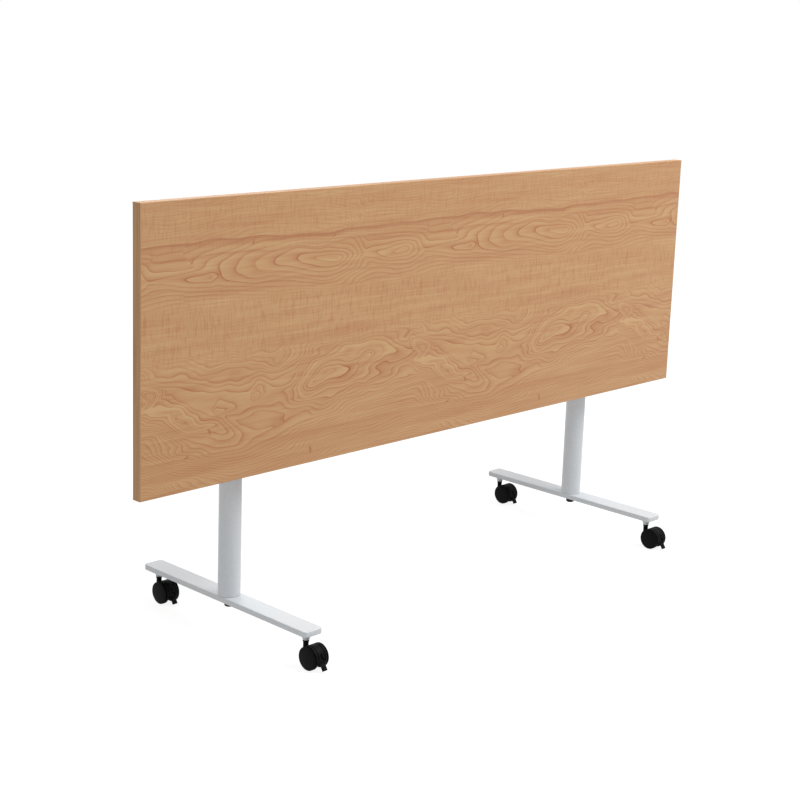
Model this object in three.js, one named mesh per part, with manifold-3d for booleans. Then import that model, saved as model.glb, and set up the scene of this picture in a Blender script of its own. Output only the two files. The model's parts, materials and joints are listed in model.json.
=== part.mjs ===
// Flip top training table, stowed: the top is turned up on edge in front of its two T-shaped legs.
// Millimetres. +X runs along the top, +Y to the rear, +Z up. The origin is on the floor, under the
// middle of the whole table. The work surface faces -Y.
import * as THREE from 'three';
import { mergeVertices } from 'three/addons/utils/BufferGeometryUtils.js';
import Module from 'manifold-3d';

const wasm = await Module();
wasm.setup();

// Clearances
const fitGap = 0.3;              // between pieces that are fixed to each other
const runGap = 0.3;              // between pieces that turn or slide on each other
const roundSides = 32;           // facets of a large round piece
const wheelSides = 24;           // facets of a castor wheel, one of them flat on the floor
const pinSides = 16;             // facets of a small round piece
const arcSides = 10;             // facets of a half turn on a short arc
const cornerSides = 6;           // facets of a half turn on a rounded corner
const edgeSteps = 2;             // facets across a rounded edge
const mergeDistance = 1e-4;      // points closer than this are one point

// Table top
const topLength = 1800;
const topDepth = 600;
const topThickness = 25;
const edgeBandThickness = 2;
const edgeBandRadius = 1;
const workHeight = 750;          // floor to work surface with the top laid flat
const surfaceToPivot = 78;       // work surface to flip axis

// Legs
const columnSpacing = 1200;
const columnDiameter = 50;
const columnWall = 2;
const footLength = 550;
const footWidth = 50;
const footThickness = 13;
const footCornerRadius = 8;
const footEdgeRadius = 2;
const bossHeight = 15;           // welded socket under the foot that takes a castor stem
const bossTopDiameter = 25;
const bossBottomDiameter = 14;
const basePlugHeight = 30;
const basePlugChamfer = 2;
const columnBoltDiameter = 10;
const columnBoltHeadDiameter = 21;
const columnBoltHeadHeight = 13.7;
const columnBoltGrip = 24;       // bolt length above the foot, in the plug
const columnBoltChamfer = 2;
const columnBoltSocketWidth = 8;
const columnBoltSocketSides = 6;
const columnBoltSocketDepth = 6;

// Column heads and cross beam
const beamDiameter = 40;
const beamWall = 2;
const beamOverhang = 4;
const beamCapThickness = 3;
const beamCapChamfer = 1;
const beamCapSpigot = 12;
const headLength = 60;
const headWall = 9;
const collarHeight = 6;
const spigotLength = 40;
const spigotWall = 5;
const headNeckDiameter = 44;

// Brackets that carry the top on the beam
const headSideGap = 5;           // head to bracket, along X
const bracketWidth = 34;
const bracketLength = 430;
const bracketBase = 4;
const bracketCornerRadius = 6;
const bracketRibWidth = 10;
const bracketRibEnd = 6;         // rib height at the bracket's ends
const bracketRibRoot = 36;       // rib height beside the saddle
const bracketRibInset = 10;
const clampEar = 16;
const clampEarThickness = 8;
const clampWall = 7;
const bushWall = 2.7;
const bushFlange = 4;
const bushFlangeReach = 4;

// Lock
const quadrantThickness = 6;
const quadrantBand = 20;
const quadrantHubBand = 8;
const quadrantOverrun = 22;      // degrees of rim beyond each notch
const notchDepth = 5.5;
const toothWidth = 7;
const toothSideGap = 0.5;
const toothTipGap = 0.6;
const pawlRimGap = 1.2;
const pawlHubWall = 3.7;
const rodDiameter = 10;
const rodStandOff = 11;          // rod axis from the underside of the top
const rodBelowRim = 2.5;         // rod axis below the crown of the quadrant's rim
const rodEndInset = 4;
const rodLugWall = 4.7;
const handleHubWall = 4.7;
const handleHubLength = 44;
const handleThickness = 4;
const handleLength = 140;
const handleRootWidth = 36;
const handleTipWidth = 26;
const gripLength = 70;
const gripThickness = 14;
const gripSide = 5;
const gripEdgeRadius = 4;
const gripCornerRadius = 15;
const springWireDiameter = 1.8;
const springCoilGap = 0.8;
const springRodGap = 1;
const springCurls = 5;
const springStepsPerCurl = 8;
const springWireSides = 5;
const springSideGap = 1.4;
const springArm = 14;
const springFoot = 22;

// Castors
const castorHeight = 56;         // floor to the underside of the welded boss
const castorInset = 25;          // stem axis from the end of the foot
const castorTrail = 25;
const wheelDiameter = 52;
const castorTrack = 44;          // over both wheels
const wheelDome = 2.5;
const wheelEdge = 1.5;
const wheelDomeSteps = 3;
const hoodWidth = 18;
const hoodWall = 2.4;
const hoodSkirt = 12;            // floor to the hood's lower edge
const hoodInset = 0.3;           // hood radius below wheel radius
const wheelSideGap = 0.8;
const axleDiameter = 6;
const axleEndGap = 1.2;
const stemDiameter = 10;
const stemPinDiameter = 8;
const stemEngagement = 18;       // stem length inside the boss and foot
const stemPinLength = 28;
const neckDiameter = 12;
const neckCollarDiameter = 14;
const neckCollarHeight = 5;
const neckRoot = 3;              // neck length below the axle's height
const leverWidth = 12.4;
const leverPivotForward = 12;
const leverPivotDrop = 4;
const leverHubRadius = 3.6;
const leverPinDiameter = 3.6;
const leverPinEndGap = 0.5;
const leverReach = 37;           // tab's tip in front of the axle
const leverTipDrop = 18.2;
const leverTabThickness = 4;
const leverSlotTop = 3;
const noseSlotWidth = 4;         // narrow slot in the hood above the lever
const noseSlotHeight = 10;

// Worked out from the above
const pivotHeight = workHeight - surfaceToPivot;
const footUnderside = castorHeight + bossHeight;
const footTop = footUnderside + footThickness;
const columnRadius = columnDiameter / 2;
const columnBore = columnRadius - columnWall;
const beamRadius = beamDiameter / 2;
const headRadius = beamRadius + fitGap + headWall;
const columnTop = pivotHeight - headRadius - collarHeight;
const wheelRadius = wheelDiameter / 2;
const axleHeight = wheelRadius * Math.cos(Math.PI / wheelSides);
const stemOffset = footLength / 2 - castorInset;
const frontReach = stemOffset + castorTrail + Math.max(leverReach, wheelRadius);
const columnY = (frontReach - footLength / 2) / 2;
const underside = topThickness - surfaceToPivot;
const bushOuter = beamRadius + runGap + bushWall;
const saddleBore = bushOuter + fitGap;
const saddleHalf = saddleBore + clampEar;
const bracketOuter = columnSpacing / 2 - headLength / 2 - headSideGap;
const bracketInner = bracketOuter - bracketWidth;
const flangeOuter = bracketInner - fitGap;
const quadrantOuter = flangeOuter - bushFlange - runGap;
const quadrantInner = quadrantOuter - quadrantThickness;
const quadrantBore = beamRadius + fitGap;
const rimRadius = quadrantBore + quadrantBand;
const rodRadius = rodDiameter / 2;
const rodY = underside + rodStandOff;
const rodZ = rimRadius - rodBelowRim;
const pawlHub = rodRadius + fitGap + pawlHubWall;
const toothReach = -rodY;
const releaseTravel = Math.asin(notchDepth / (toothReach - toothWidth / 2));
const handleHub = rodRadius + fitGap + handleHubWall;

const materials = {
  laminate: new THREE.MeshStandardMaterial({ color: 0xc4976e, roughness: 0.5, metalness: 0 }),
  edging: new THREE.MeshStandardMaterial({ color: 0xb48a66, roughness: 0.5, metalness: 0 }),
  silverPaint: new THREE.MeshStandardMaterial({ color: 0xc9cdd1, roughness: 0.4, metalness: 0.3 }),
  blackPaint: new THREE.MeshStandardMaterial({ color: 0x242526, roughness: 0.5, metalness: 0.2 }),
  steel: new THREE.MeshStandardMaterial({ color: 0xb8bcc0, roughness: 0.35, metalness: 1 }),
  blackNylon: new THREE.MeshStandardMaterial({ color: 0x1c1c1c, roughness: 0.5, metalness: 0 }),
  bushPolymer: new THREE.MeshStandardMaterial({ color: 0xe6e2d6, roughness: 0.6, metalness: 0 }),
  gripRubber: new THREE.MeshStandardMaterial({ color: 0x2b2b2c, roughness: 0.8, metalness: 0 }),
};

// A closed solid from a geometry: shared vertices merged, flat triangles dropped, faces turned outwards.
function solid(geometry) {
  const bare = new THREE.BufferGeometry();
  bare.setAttribute('position', geometry.getAttribute('position'));
  bare.setIndex(geometry.getIndex());
  const merged = mergeVertices(bare, mergeDistance);
  const place = merged.getAttribute('position');
  const index = merged.getIndex().array;
  const corners = [new THREE.Vector3(), new THREE.Vector3(), new THREE.Vector3()];
  const triangles = [];
  let volume = 0;
  for (let i = 0; i < index.length; i += 3) {
    const [a, b, c] = index.slice(i, i + 3);
    if (a === b || b === c || c === a) continue;
    triangles.push([a, b, c]);
    corners.forEach((corner, k) => corner.fromBufferAttribute(place, [a, b, c][k]));
    volume += corners[0].dot(corners[1].cross(corners[2]));
  }
  const outward = volume > 0 ? triangles : triangles.map(([a, b, c]) => [a, c, b]);
  return new wasm.Manifold(new wasm.Mesh({
    numProp: 3,
    vertProperties: new Float32Array(place.array),
    triVerts: new Uint32Array(outward.flat()),
  }));
}

function named(name, body, material) {
  const cut = body.getMesh();
  const geometry = new THREE.BufferGeometry();
  geometry.setAttribute('position', new THREE.BufferAttribute(new Float32Array(cut.vertProperties), 3));
  geometry.setIndex(new THREE.BufferAttribute(new Uint32Array(cut.triVerts), 1));
  geometry.computeVertexNormals();
  const mesh = new THREE.Mesh(geometry, material);
  mesh.name = name;
  return mesh;
}

function placed(group, x, y, z) {
  group.position.set(x, y, z);
  return group;
}

// Shapes drawn in the Y-Z plane and carried along X between two stations.
function alongX(shape, from, to, sides = roundSides, bevel = {}) {
  const geometry = new THREE.ExtrudeGeometry(shape, {
    depth: Math.abs(to - from), bevelEnabled: false, curveSegments: sides / 2, ...bevel,
  });
  const axes = new THREE.Matrix4().makeBasis(
    new THREE.Vector3(0, 1, 0), new THREE.Vector3(0, 0, 1), new THREE.Vector3(1, 0, 0));
  return solid(geometry.applyMatrix4(axes).translate(Math.min(from, to), 0, 0));
}

// Shapes drawn in the X-Z plane and carried along Y.
function alongY(shape, from, to, sides = roundSides, bevel = {}) {
  const geometry = new THREE.ExtrudeGeometry(shape, {
    depth: to - from, bevelEnabled: false, curveSegments: sides / 2, ...bevel,
  });
  const axes = new THREE.Matrix4().makeBasis(
    new THREE.Vector3(1, 0, 0), new THREE.Vector3(0, 0, 1), new THREE.Vector3(0, -1, 0));
  return solid(geometry.applyMatrix4(axes).translate(0, to, 0));
}

// Shapes drawn in the X-Y plane and carried along Z.
function alongZ(shape, from, to, sides = roundSides, bevel = {}) {
  const geometry = new THREE.ExtrudeGeometry(shape, {
    depth: to - from, bevelEnabled: false, curveSegments: sides / 2, ...bevel,
  });
  return solid(geometry.translate(0, 0, from));
}

// A profile of [radius, height] points turned round the Z axis, with a flat facet towards each axis.
function turnedZ(profile, sides = roundSides) {
  const points = profile.map(([radius, height]) => new THREE.Vector2(radius, height));
  const geometry = new THREE.LatheGeometry(points, sides, Math.PI / sides);
  return solid(geometry.rotateX(Math.PI / 2));
}

// The same round the X axis: [radius, station] points.
function turnedX(profile, sides = roundSides) {
  const points = profile.map(([radius, station]) => new THREE.Vector2(radius, station));
  const geometry = new THREE.LatheGeometry(points, sides, Math.PI / sides);
  return solid(geometry.rotateX(Math.PI / 2).rotateY(Math.PI / 2));
}

function rodX(radius, from, to, sides = roundSides) {
  return turnedX([[0, from], [radius, from], [radius, to], [0, to]], sides);
}

function rodUp(radius, from, to, sides = roundSides) {
  return turnedZ([[0, from], [radius, from], [radius, to], [0, to]], sides);
}

function box(low, high) {
  const size = new THREE.Vector3(...high).sub(new THREE.Vector3(...low));
  const middle = new THREE.Vector3(...high).add(new THREE.Vector3(...low)).multiplyScalar(0.5);
  return solid(new THREE.BoxGeometry(size.x, size.y, size.z).translate(middle.x, middle.y, middle.z));
}

function outline(points) {
  return new THREE.Shape(points.map(([a, b]) => new THREE.Vector2(a, b)));
}

function roundedRectangle(width, height, radius) {
  const shape = new THREE.Shape();
  const right = width / 2 - radius;
  const upper = height / 2 - radius;
  shape.absarc(right, -upper, radius, -Math.PI / 2, 0);
  shape.absarc(right, upper, radius, 0, Math.PI / 2);
  shape.absarc(-right, upper, radius, Math.PI / 2, Math.PI);
  shape.absarc(-right, -upper, radius, Math.PI, 1.5 * Math.PI);
  shape.closePath();
  return shape;
}

// A rounded edge of the given radius on both faces of an extrusion, kept inside its outline and depth.
function softEdge(radius, depth) {
  return {
    depth: depth - 2 * radius, bevelEnabled: true, bevelThickness: radius, bevelSize: radius,
    bevelOffset: -radius, bevelSegments: edgeSteps,
  };
}

// Table top: a laminated board with an edge band on each side, drawn round the flip axis.
function makeTop() {
  const group = new THREE.Group();
  const boardX = topLength / 2 - edgeBandThickness;
  const boardZ = topDepth / 2 - edgeBandThickness;
  const face = -surfaceToPivot;
  const board = box([-boardX, face, -boardZ], [boardX, underside, boardZ]);
  group.add(named('top_board', board, materials.laminate));

  // Section of a band: thickness across u, the board's thickness across v, outer arrises rounded.
  const bandSection = (inner, outer, swap) => {
    const step = Math.sign(outer - inner) * edgeBandRadius;
    const points = [
      [inner, face], [outer - step, face], [outer, face + edgeBandRadius],
      [outer, underside - edgeBandRadius], [outer - step, underside], [inner, underside],
    ];
    return outline(swap ? points.map(([u, v]) => [v, u]) : points);
  };
  for (const [name, side] of [['upper', 1], ['lower', -1]]) {
    const section = bandSection(side * boardZ, side * topDepth / 2, true);
    const band = alongX(section, -topLength / 2, topLength / 2);
    group.add(named(`edge_band_${name}`, band, materials.edging));
  }
  for (const [name, side] of [['left', -1], ['right', 1]]) {
    const section = bandSection(side * boardX, side * topLength / 2, false);
    const band = alongZ(section, -boardZ, boardZ);
    group.add(named(`edge_band_${name}`, band, materials.edging));
  }
  return group;
}

// Bracket: a ribbed base screwed under the top, with a half saddle on the beam and a bearing for the rod.
function makeBracket(name, side) {
  const group = new THREE.Group();
  const inner = side * bracketInner;
  const outer = side * bracketOuter;
  const middle = (inner + outer) / 2;
  const baseTop = underside + bracketBase;
  const basePlan = roundedRectangle(bracketWidth, bracketLength, bracketCornerRadius);
  const base = alongY(basePlan, underside, baseTop, cornerSides).translate([middle, 0, 0]);
  const ribEnd = bracketLength / 2 - bracketRibInset;
  const ribRoot = Math.max(saddleHalf, rodZ + rodRadius + rodLugWall) - clampEar / 2;
  const rib = alongX(outline([
    [underside, -ribEnd], [underside + bracketRibEnd, -ribEnd], [underside + bracketRibRoot, -ribRoot],
    [underside + bracketRibRoot, ribRoot], [underside + bracketRibEnd, ribEnd], [underside, ribEnd],
  ]), middle - bracketRibWidth / 2, middle + bracketRibWidth / 2);
  const saddle = alongX(outline([
    [underside, -saddleHalf], [-fitGap, -saddleHalf], [-fitGap, saddleHalf], [underside, saddleHalf],
  ]), inner, outer);
  const lugRadius = Math.min(rodRadius + runGap + rodLugWall, rodStandOff - fitGap);
  const lug = rodX(lugRadius, Math.min(inner, outer), Math.max(inner, outer), pinSides)
    .translate([0, rodY, rodZ]);
  const reach = bracketOuter + bracketWidth;
  const bore = rodX(saddleBore, -reach, reach);
  const rodBore = rodX(rodRadius + runGap, -reach, reach, pinSides).translate([0, rodY, rodZ]);
  const bracket = base.add(rib).add(saddle).add(lug).subtract(bore).subtract(rodBore);
  group.add(named(`top_bracket_${name}`, bracket, materials.blackPaint));

  // Clamp half that closes the saddle round the beam.
  const capOuter = saddleBore + clampWall;
  const ear = fitGap + clampEarThickness;
  const earAngle = Math.acos(ear / capOuter);
  const boreAngle = Math.acos(fitGap / saddleBore);
  const capShape = new THREE.Shape();
  capShape.moveTo(fitGap, -saddleHalf);
  capShape.lineTo(ear, -saddleHalf);
  capShape.absarc(0, 0, capOuter, -earAngle, earAngle);
  capShape.lineTo(ear, saddleHalf);
  capShape.lineTo(fitGap, saddleHalf);
  capShape.absarc(0, 0, saddleBore, boreAngle, -boreAngle, true);
  capShape.closePath();
  const cap = alongX(capShape, inner, outer, 2 * arcSides);
  group.add(named(`bracket_cap_${name}`, cap, materials.blackPaint));

  // Flanged bush between the beam and the clamp.
  const bushBore = beamRadius + runGap;
  const flangeRadius = bushOuter + bushFlangeReach;
  const end = columnSpacing / 2 - headLength / 2 - runGap;
  const bush = turnedX([
    [bushBore, side * end], [bushOuter, side * end], [bushOuter, side * flangeOuter],
    [flangeRadius, side * flangeOuter], [flangeRadius, side * (flangeOuter - bushFlange)],
    [bushBore, side * (flangeOuter - bushFlange)], [bushBore, side * end],
  ]);
  group.add(named(`pivot_bush_${name}`, bush, materials.bushPolymer));
  return group;
}

// A wire along points that starts along X: one ring of corners at each point, square to the wire, and an
// end fan.
function wire(points, radius) {
  const corners = [];
  const normal = new THREE.Vector3();
  const tangents = points.map((point, i) => {
    const next = points[Math.min(i + 1, points.length - 1)];
    return next.clone().sub(points[Math.max(i - 1, 0)]).normalize();
  });
  normal.set(0, 1, 0).projectOnPlane(tangents[0]);
  points.forEach((point, i) => {
    normal.projectOnPlane(tangents[i]).normalize();
    const across = tangents[i].clone().cross(normal);
    for (let k = 0; k < springWireSides; k += 1) {
      const angle = (2 * Math.PI * k) / springWireSides;
      const corner = point.clone().addScaledVector(normal, radius * Math.cos(angle));
      corners.push(corner.addScaledVector(across, radius * Math.sin(angle)));
    }
  });
  const index = [];
  const last = (points.length - 1) * springWireSides;
  for (let ring = 0; ring < last; ring += springWireSides) {
    for (let k = 0; k < springWireSides; k += 1) {
      const a = ring + k;
      const b = ring + ((k + 1) % springWireSides);
      index.push(a, b, b + springWireSides, a, b + springWireSides, a + springWireSides);
    }
  }
  for (let k = 1; k < springWireSides - 1; k += 1) {
    index.push(0, k + 1, k, last, last + k, last + k + 1);
  }
  const geometry = new THREE.BufferGeometry().setFromPoints(corners);
  geometry.setIndex(index);
  return solid(geometry);
}

// Least distance from the wire's skin to itself, on its points, leaving out each point's own half curl.
function leastSelfGap(points, diameter) {
  let least = Infinity;
  points.forEach((point, i) => {
    points.slice(i + springStepsPerCurl / 2).forEach((other) => {
      least = Math.min(least, point.distanceTo(other) - diameter);
    });
  });
  return least;
}

// Torsion spring round the rod: an arm hooked over the pawl, the curls, and a foot against the top.
function makeSpring(name, side) {
  const radius = springWireDiameter / 2;
  const coil = rodRadius + springRodGap + radius;
  const pitch = springWireDiameter + springCoilGap;
  const start = quadrantInner - springSideGap - radius;
  const hookRise = (springArm * Math.sin(releaseTravel)) + (pawlHub * Math.cos(releaseTravel));
  const hookZ = hookRise + runGap + radius;
  const hookX = (quadrantInner + quadrantOuter) / 2;
  const points = [
    new THREE.Vector3(hookX, springArm, hookZ),
    new THREE.Vector3(start + radius, springArm, hookZ),
    new THREE.Vector3(start, springArm - springWireDiameter, hookZ - radius / 2),
  ];
  const turn = 2 * Math.PI * springCurls + Math.PI / 2;
  const steps = springCurls * springStepsPerCurl + springStepsPerCurl / 4;
  for (let i = 0; i <= steps; i += 1) {
    const angle = Math.PI / 2 + (turn * i) / steps;
    const station = start - (pitch * turn * i) / (steps * 2 * Math.PI);
    points.push(new THREE.Vector3(station, coil * Math.cos(angle), coil * Math.sin(angle)));
  }
  const end = points.at(-1).x;
  const footY = underside - rodY + runGap + radius;
  points.push(new THREE.Vector3(end, footY, -springFoot));
  console.log(`${name} least gap to itself: ${leastSelfGap(points, springWireDiameter).toFixed(2)} mm`);
  points.forEach((point) => { point.x *= side; });
  const spring = named(name, wire(points, radius), materials.steel);
  return placed(spring, 0, rodY, rodZ);
}

// Release bar, held open: a cross rod with a pawl near each end and a squeeze lever at the middle.
function makeRelease() {
  const group = new THREE.Group();
  const rodHalf = bracketOuter - rodEndInset;
  group.add(named('release_rod', rodX(rodRadius, -rodHalf, rodHalf, pinSides), materials.steel));

  const rimZ = rimRadius - rodZ;
  const tipZ = rimZ - notchDepth + toothTipGap;
  const armZ = rimZ + pawlRimGap;
  const half = toothWidth / 2;
  for (const [name, side] of [['left', -1], ['right', 1]]) {
    const shape = new THREE.Shape();
    shape.absarc(0, 0, pawlHub, Math.PI / 2, 2 * Math.PI + Math.asin(armZ / pawlHub));
    shape.lineTo(toothReach - half, armZ);
    shape.lineTo(toothReach - half, tipZ);
    shape.lineTo(toothReach + half, tipZ);
    shape.lineTo(toothReach + half, pawlHub);
    shape.closePath();
    const bore = rodX(rodRadius + fitGap, -topLength, topLength, pinSides);
    const pawl = alongX(shape, side * quadrantInner, side * quadrantOuter, pinSides).subtract(bore);
    const mesh = named(`lock_pawl_${name}`, pawl, materials.steel);
    mesh.rotation.x = releaseTravel;
    group.add(mesh);
  }

  // Lever plan in X-Z, grown by a margin so that the grip's pocket follows it.
  const plan = (margin) => {
    const tip = handleTipWidth / 2 + margin;
    const root = handleRootWidth / 2 + margin;
    const shape = new THREE.Shape();
    shape.moveTo(-root, 0);
    shape.lineTo(root, 0);
    shape.absarc(0, handleLength - handleTipWidth / 2, tip, 0, Math.PI);
    shape.closePath();
    return shape;
  };
  const leverY = handleHub - handleThickness;
  const hub = rodX(handleHub, -handleHubLength / 2, handleHubLength / 2, pinSides);
  const rodBore = rodX(rodRadius + fitGap, -handleHubLength, handleHubLength, pinSides);
  const lever = alongY(plan(0), leverY, handleHub, pinSides).add(hub).subtract(rodBore);
  group.add(named('release_handle', lever, materials.blackPaint));

  const gripY = leverY + handleThickness / 2;
  const gripWidth = handleRootWidth + 2 * gripSide;
  const gripMiddle = handleLength + gripSide - gripLength / 2;
  const shell = alongY(
    roundedRectangle(gripWidth, gripLength, gripCornerRadius),
    gripY - gripThickness / 2 + gripEdgeRadius, gripY + gripThickness / 2 + gripEdgeRadius, cornerSides,
    softEdge(gripEdgeRadius, gripThickness)).translate([0, -2 * gripEdgeRadius, gripMiddle]);
  const pocket = alongY(plan(fitGap), leverY - fitGap, handleHub + fitGap, pinSides);
  group.add(named('handle_grip', shell.subtract(pocket), materials.gripRubber));
  return placed(group, 0, rodY, rodZ);
}

// Notched lock plate on the beam: one notch holds the top stowed, the other holds it flat.
function makeQuadrant(name, side) {
  const notchHalf = toothWidth / 2 + toothSideGap;
  const notchAngle = Math.asin(notchHalf / rimRadius);
  const floor = rimRadius - notchDepth;
  const overrun = THREE.MathUtils.degToRad(quadrantOverrun);
  const hubRadius = quadrantBore + quadrantHubBand;
  const shape = new THREE.Shape();
  shape.absarc(0, 0, rimRadius, -overrun, -notchAngle);
  shape.lineTo(floor, -notchHalf);
  shape.lineTo(floor, notchHalf);
  shape.absarc(0, 0, rimRadius, notchAngle, Math.PI / 2 - notchAngle);
  shape.lineTo(notchHalf, floor);
  shape.lineTo(-notchHalf, floor);
  shape.absarc(0, 0, rimRadius, Math.PI / 2 + notchAngle, Math.PI / 2 + overrun);
  shape.absarc(0, 0, hubRadius, Math.PI / 2 + 2 * overrun, 2 * Math.PI - 2 * overrun);
  shape.closePath();
  const bore = rodX(quadrantBore, -topLength, topLength);
  const plate = alongX(shape, side * quadrantInner, side * quadrantOuter, arcSides).subtract(bore);
  return named(`lock_quadrant_${name}`, plate, materials.steel);
}

// Column head: a spigot in the column, a collar on its rim and a barrel that holds the beam.
function makeHead(name) {
  const collarBottom = columnTop + fitGap - pivotHeight;
  const spigotRadius = columnBore - fitGap;
  const spigotBottom = columnTop - spigotLength - pivotHeight;
  const neck = headNeckDiameter / 2;
  const stem = turnedZ([
    [0, -headRadius], [spigotRadius - spigotWall, -headRadius], [spigotRadius - spigotWall, spigotBottom],
    [spigotRadius, spigotBottom], [spigotRadius, collarBottom], [columnRadius, collarBottom],
    [columnRadius, collarBottom + collarHeight / 2], [neck, -headRadius + collarHeight / 2],
    [neck, 0], [0, 0],
  ]);
  const barrel = rodX(headRadius, -headLength / 2, headLength / 2);
  const bore = rodX(beamRadius + fitGap, -headLength, headLength);
  return named(`column_head_${name}`, stem.add(barrel).subtract(bore), materials.silverPaint);
}

function makeBeam() {
  const group = new THREE.Group();
  const half = columnSpacing / 2 + headLength / 2 + beamOverhang;
  const bore = beamRadius - beamWall;
  const tube = turnedX([
    [bore, -half], [beamRadius, -half], [beamRadius, half], [bore, half], [bore, -half],
  ]);
  group.add(named('cross_beam', tube, materials.silverPaint));
  for (const [name, side] of [['left', -1], ['right', 1]]) {
    const face = side * (half + fitGap);
    const spigot = bore - fitGap;
    const cap = turnedX([
      [0, side * (half - beamCapSpigot)], [spigot, side * (half - beamCapSpigot)], [spigot, face],
      [beamRadius, face], [beamRadius - beamCapChamfer, face + side * beamCapThickness],
      [0, face + side * beamCapThickness],
    ]);
    group.add(named(`beam_cap_${name}`, cap, materials.blackNylon));
  }
  return group;
}

// T-leg: flat foot with a welded castor boss near each end, tube column, plug and bolt.
function makeLeg(name) {
  const group = new THREE.Group();
  const plate = alongZ(
    roundedRectangle(footWidth, footLength, footCornerRadius), footUnderside + footEdgeRadius,
    footTop + footEdgeRadius, cornerSides, softEdge(footEdgeRadius, footThickness));
  const boltRadius = columnBoltDiameter / 2;
  let foot = plate.subtract(rodUp(boltRadius + fitGap, 0, workHeight, pinSides));
  for (const end of [-1, 1]) {
    const boss = turnedZ([
      [0, castorHeight], [bossBottomDiameter / 2, castorHeight],
      [bossTopDiameter / 2, footUnderside + footEdgeRadius], [0, footUnderside + footEdgeRadius],
    ]).translate([0, end * stemOffset, 0]);
    const socketTop = castorHeight + stemEngagement + fitGap;
    const socket = rodUp(stemDiameter / 2 + fitGap, 0, socketTop, pinSides)
      .translate([0, end * stemOffset, 0]);
    foot = foot.add(boss).subtract(socket);
  }
  group.add(named(`foot_bar_${name}`, foot, materials.silverPaint));

  const base = footTop + fitGap;
  const tube = turnedZ([
    [columnBore, base], [columnRadius, base], [columnRadius, columnTop], [columnBore, columnTop],
    [columnBore, base],
  ]);
  group.add(named(`column_${name}`, tube, materials.silverPaint));

  const plugRadius = columnBore - fitGap;
  const plugTop = base + basePlugHeight;
  const threadTop = footTop + columnBoltGrip + fitGap;
  const plug = turnedZ([
    [boltRadius + fitGap, base], [plugRadius, base], [plugRadius, plugTop - basePlugChamfer],
    [plugRadius - basePlugChamfer, plugTop], [0, plugTop], [0, threadTop], [boltRadius + fitGap, threadTop],
    [boltRadius + fitGap, base],
  ], pinSides);
  group.add(named(`column_plug_${name}`, plug, materials.steel));

  const headTop = footUnderside - fitGap;
  const headBottom = headTop - columnBoltHeadHeight;
  const headRim = columnBoltHeadDiameter / 2;
  const bolt = turnedZ([
    [0, headBottom], [headRim - columnBoltChamfer, headBottom],
    [headRim, headBottom + columnBoltChamfer], [headRim, headTop], [boltRadius, headTop],
    [boltRadius, footTop + columnBoltGrip], [0, footTop + columnBoltGrip],
  ], pinSides);
  const socketRadius = columnBoltSocketWidth / (2 * Math.cos(Math.PI / columnBoltSocketSides));
  const socketTop = headBottom + columnBoltSocketDepth;
  const socket = rodUp(socketRadius, headBottom - fitGap, socketTop, columnBoltSocketSides);
  group.add(named(`column_bolt_${name}`, bolt.subtract(socket), materials.blackPaint));
  return group;
}

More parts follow.
